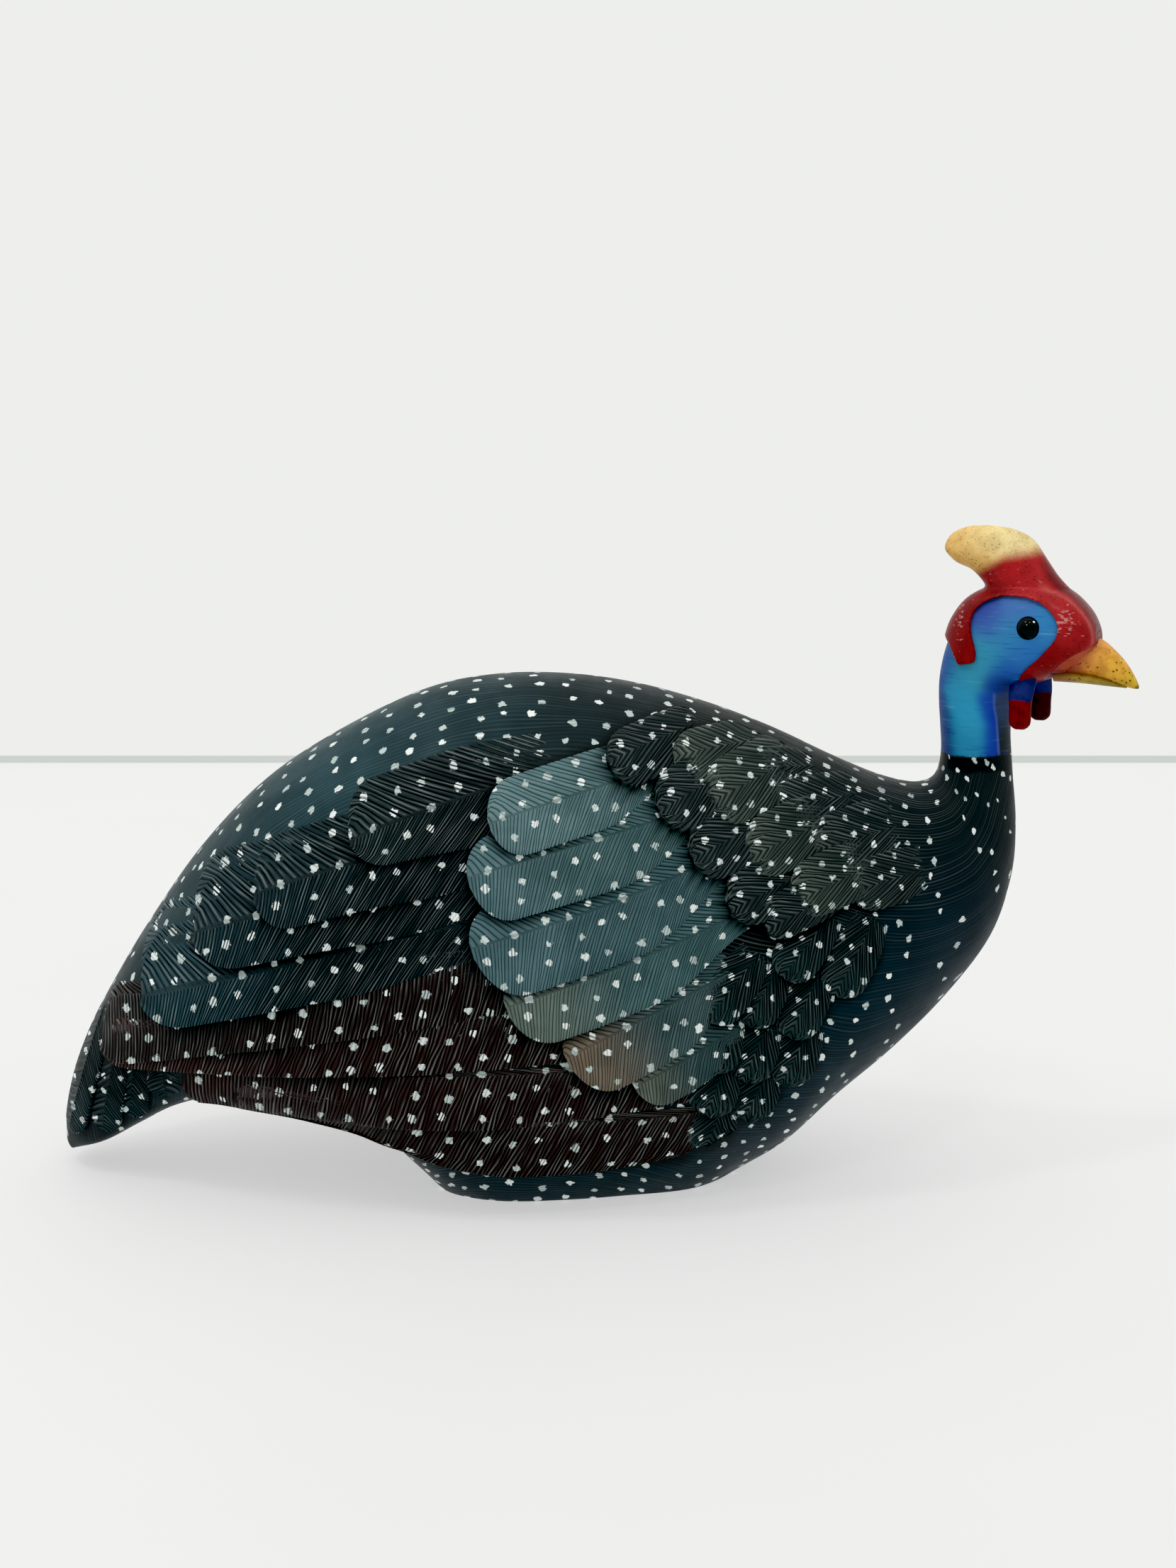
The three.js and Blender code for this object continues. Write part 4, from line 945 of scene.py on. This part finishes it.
# ---------------- the eyes
# Domed black glass eyes, ground flat behind and set into sockets; their polish gives small
# bright reflections of the window.
EYE_DIAMETER = 8
EYE_PROUD = 2
EYE_AT = (132.7, 11.7, 169.6)
glass, tree, shader = new_material("black_glass", Roughness=0.06, Base_Color=rgba("#020202"),
                                   Specular_IOR_Level=0.12)
eyes = bpy.data.collections.new("eyes")
for name, side in (("eye_left", 1), ("eye_right", -1)):
    sunk = EYE_DIAMETER / 2 - EYE_PROUD
    middle = turn_head(np.array([[EYE_AT[0], side * (EYE_AT[1] - sunk), EYE_AT[2]]]), 1)[0]
    dome = bmesh.new()
    bmesh.ops.create_uvsphere(dome, u_segments=64, v_segments=32, radius=EYE_DIAMETER / 2 * MM)
    bmesh.ops.translate(dome, vec=middle * MM, verts=dome.verts)
    mesh = bpy.data.meshes.new(name + "_dome")
    dome.to_mesh(mesh)
    dome.free()
    eye = piece(name + "_dome", mesh, glass)
    eyes.objects.link(eye)
    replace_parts(eye, name)

# ---------------- the table, the light and the view
# A pale matt table, with a thin grey joint where it meets the wall, in soft light from two windows
# and the ceiling. The table and the joint glow a little of their own, which keeps the shadows as
# light as daylight leaves them. The two panes of a window show in the polished eyes alone.
TABLE = dict(half=(2.2, 1.2), tilt=0, place=(0, -0.444, 0))
JOINT = dict(half=(2.2, 0.0022), tilt=90, place=(0, 0.756, 0.0022))


def backdrop(name, material, half, tilt, place):
    """A flat stretch of what stands round the bird, turned up by tilt degrees."""
    bm = bmesh.new()
    bmesh.ops.create_grid(bm, x_segments=1, y_segments=1, size=1)
    bmesh.ops.scale(bm, vec=(*half, 1), verts=bm.verts)
    bmesh.ops.rotate(bm, matrix=Matrix.Rotation(math.radians(tilt), 3, "X"), verts=bm.verts)
    bmesh.ops.translate(bm, vec=place, verts=bm.verts)
    mesh = bpy.data.meshes.new(name)
    bm.to_mesh(mesh)
    bm.free()
    mesh.materials.append(material)
    in_scene(mesh)


material, tree, shader = new_material("matt_table_paint", Roughness=0.7,
                                      Emission_Color=rgba("#ffffff"), Emission_Strength=0.5)
add = partial(add_node, tree)
cloudy = add("TexNoise", add("TexCoord", output="Object"), 6.0, 3.0)
tree.links.new(add("Mix", cloudy, rgba("#929392"), rgba("#999a99"), **COLOURS), shader.inputs["Base Color"])
backdrop("floor", material, **TABLE)
material, tree, shader = new_material("grey_joint", Roughness=0.8, Base_Color=rgba("#8c8f8d"),
                                      Emission_Color=rgba("#f4faf6"), Emission_Strength=0.4)
backdrop("joint", material, **JOINT)

world = bpy.data.worlds.new("room")
bpy.context.scene.world = world
world.use_nodes = True
add = partial(add_node, world.node_tree)
_, back, up = add("SeparateXYZ", add("TexCoord", output="Generated")).node.outputs
glow = add("Math", up, add("Math", back, 0.5, **TIMES), **PLUS)
glow = add("MapRange", glow, -0.3, 0.7, 0.8, 1.1, **SMOOTHLY)
seen = add("LightPath", output="Is Camera Ray")
background = world.node_tree.nodes["Background"]
background.inputs["Color"].default_value = rgba("#f0f1ee")
world.node_tree.links.new(add("MapRange", seen, 0.0, 1.0, glow, 0.98, **SMOOTHLY),
                          background.inputs["Strength"])
LIT = np.array([0, 0, 0.09])
# name, place, size in metres and power in watts
LAMPS = [
    ("window", (-0.55, -0.3, 1.3), 0.2, 2.6), ("second_window", (0.1, -0.75, 1.35), 0.2, 1.6),
    ("ceiling", (0, 0.5, 1.8), 1.8, 2.5), ("pane", (0.74, -0.36, 1.13), 0.3, 22),
    ("small_pane", (-0.42, -0.81, 0.87), 0.15, 3.5),
]
for name, place, size, power in LAMPS:
    light = bpy.data.lights.new(name, "AREA")
    light.size, light.energy = size, power
    lamp = in_scene(light)
    lamp.location = place
    aim = LIT - place
    lamp.rotation_euler = (math.acos(-aim[2] / np.linalg.norm(aim)), 0,
                           math.atan2(aim[1], aim[0]) - math.pi / 2)
    if name.endswith("pane"):
        lamp.light_linking.receiver_collection = eyes

# the camera looks down 10 degrees from a little above the bird; the blacks are deepened slightly
camera = in_scene(bpy.data.cameras.new("camera"))
camera.data.lens = 56.25
camera.location = (-0.0035, -0.742, 0.2507)
camera.rotation_euler = (math.radians(80), 0, 0)
bpy.context.scene.camera = camera
view = bpy.context.scene.view_settings
view.view_transform = "Standard"
view.use_curve_mapping = True
view.curve_mapping.black_level = (0.009, 0.007, 0.007)
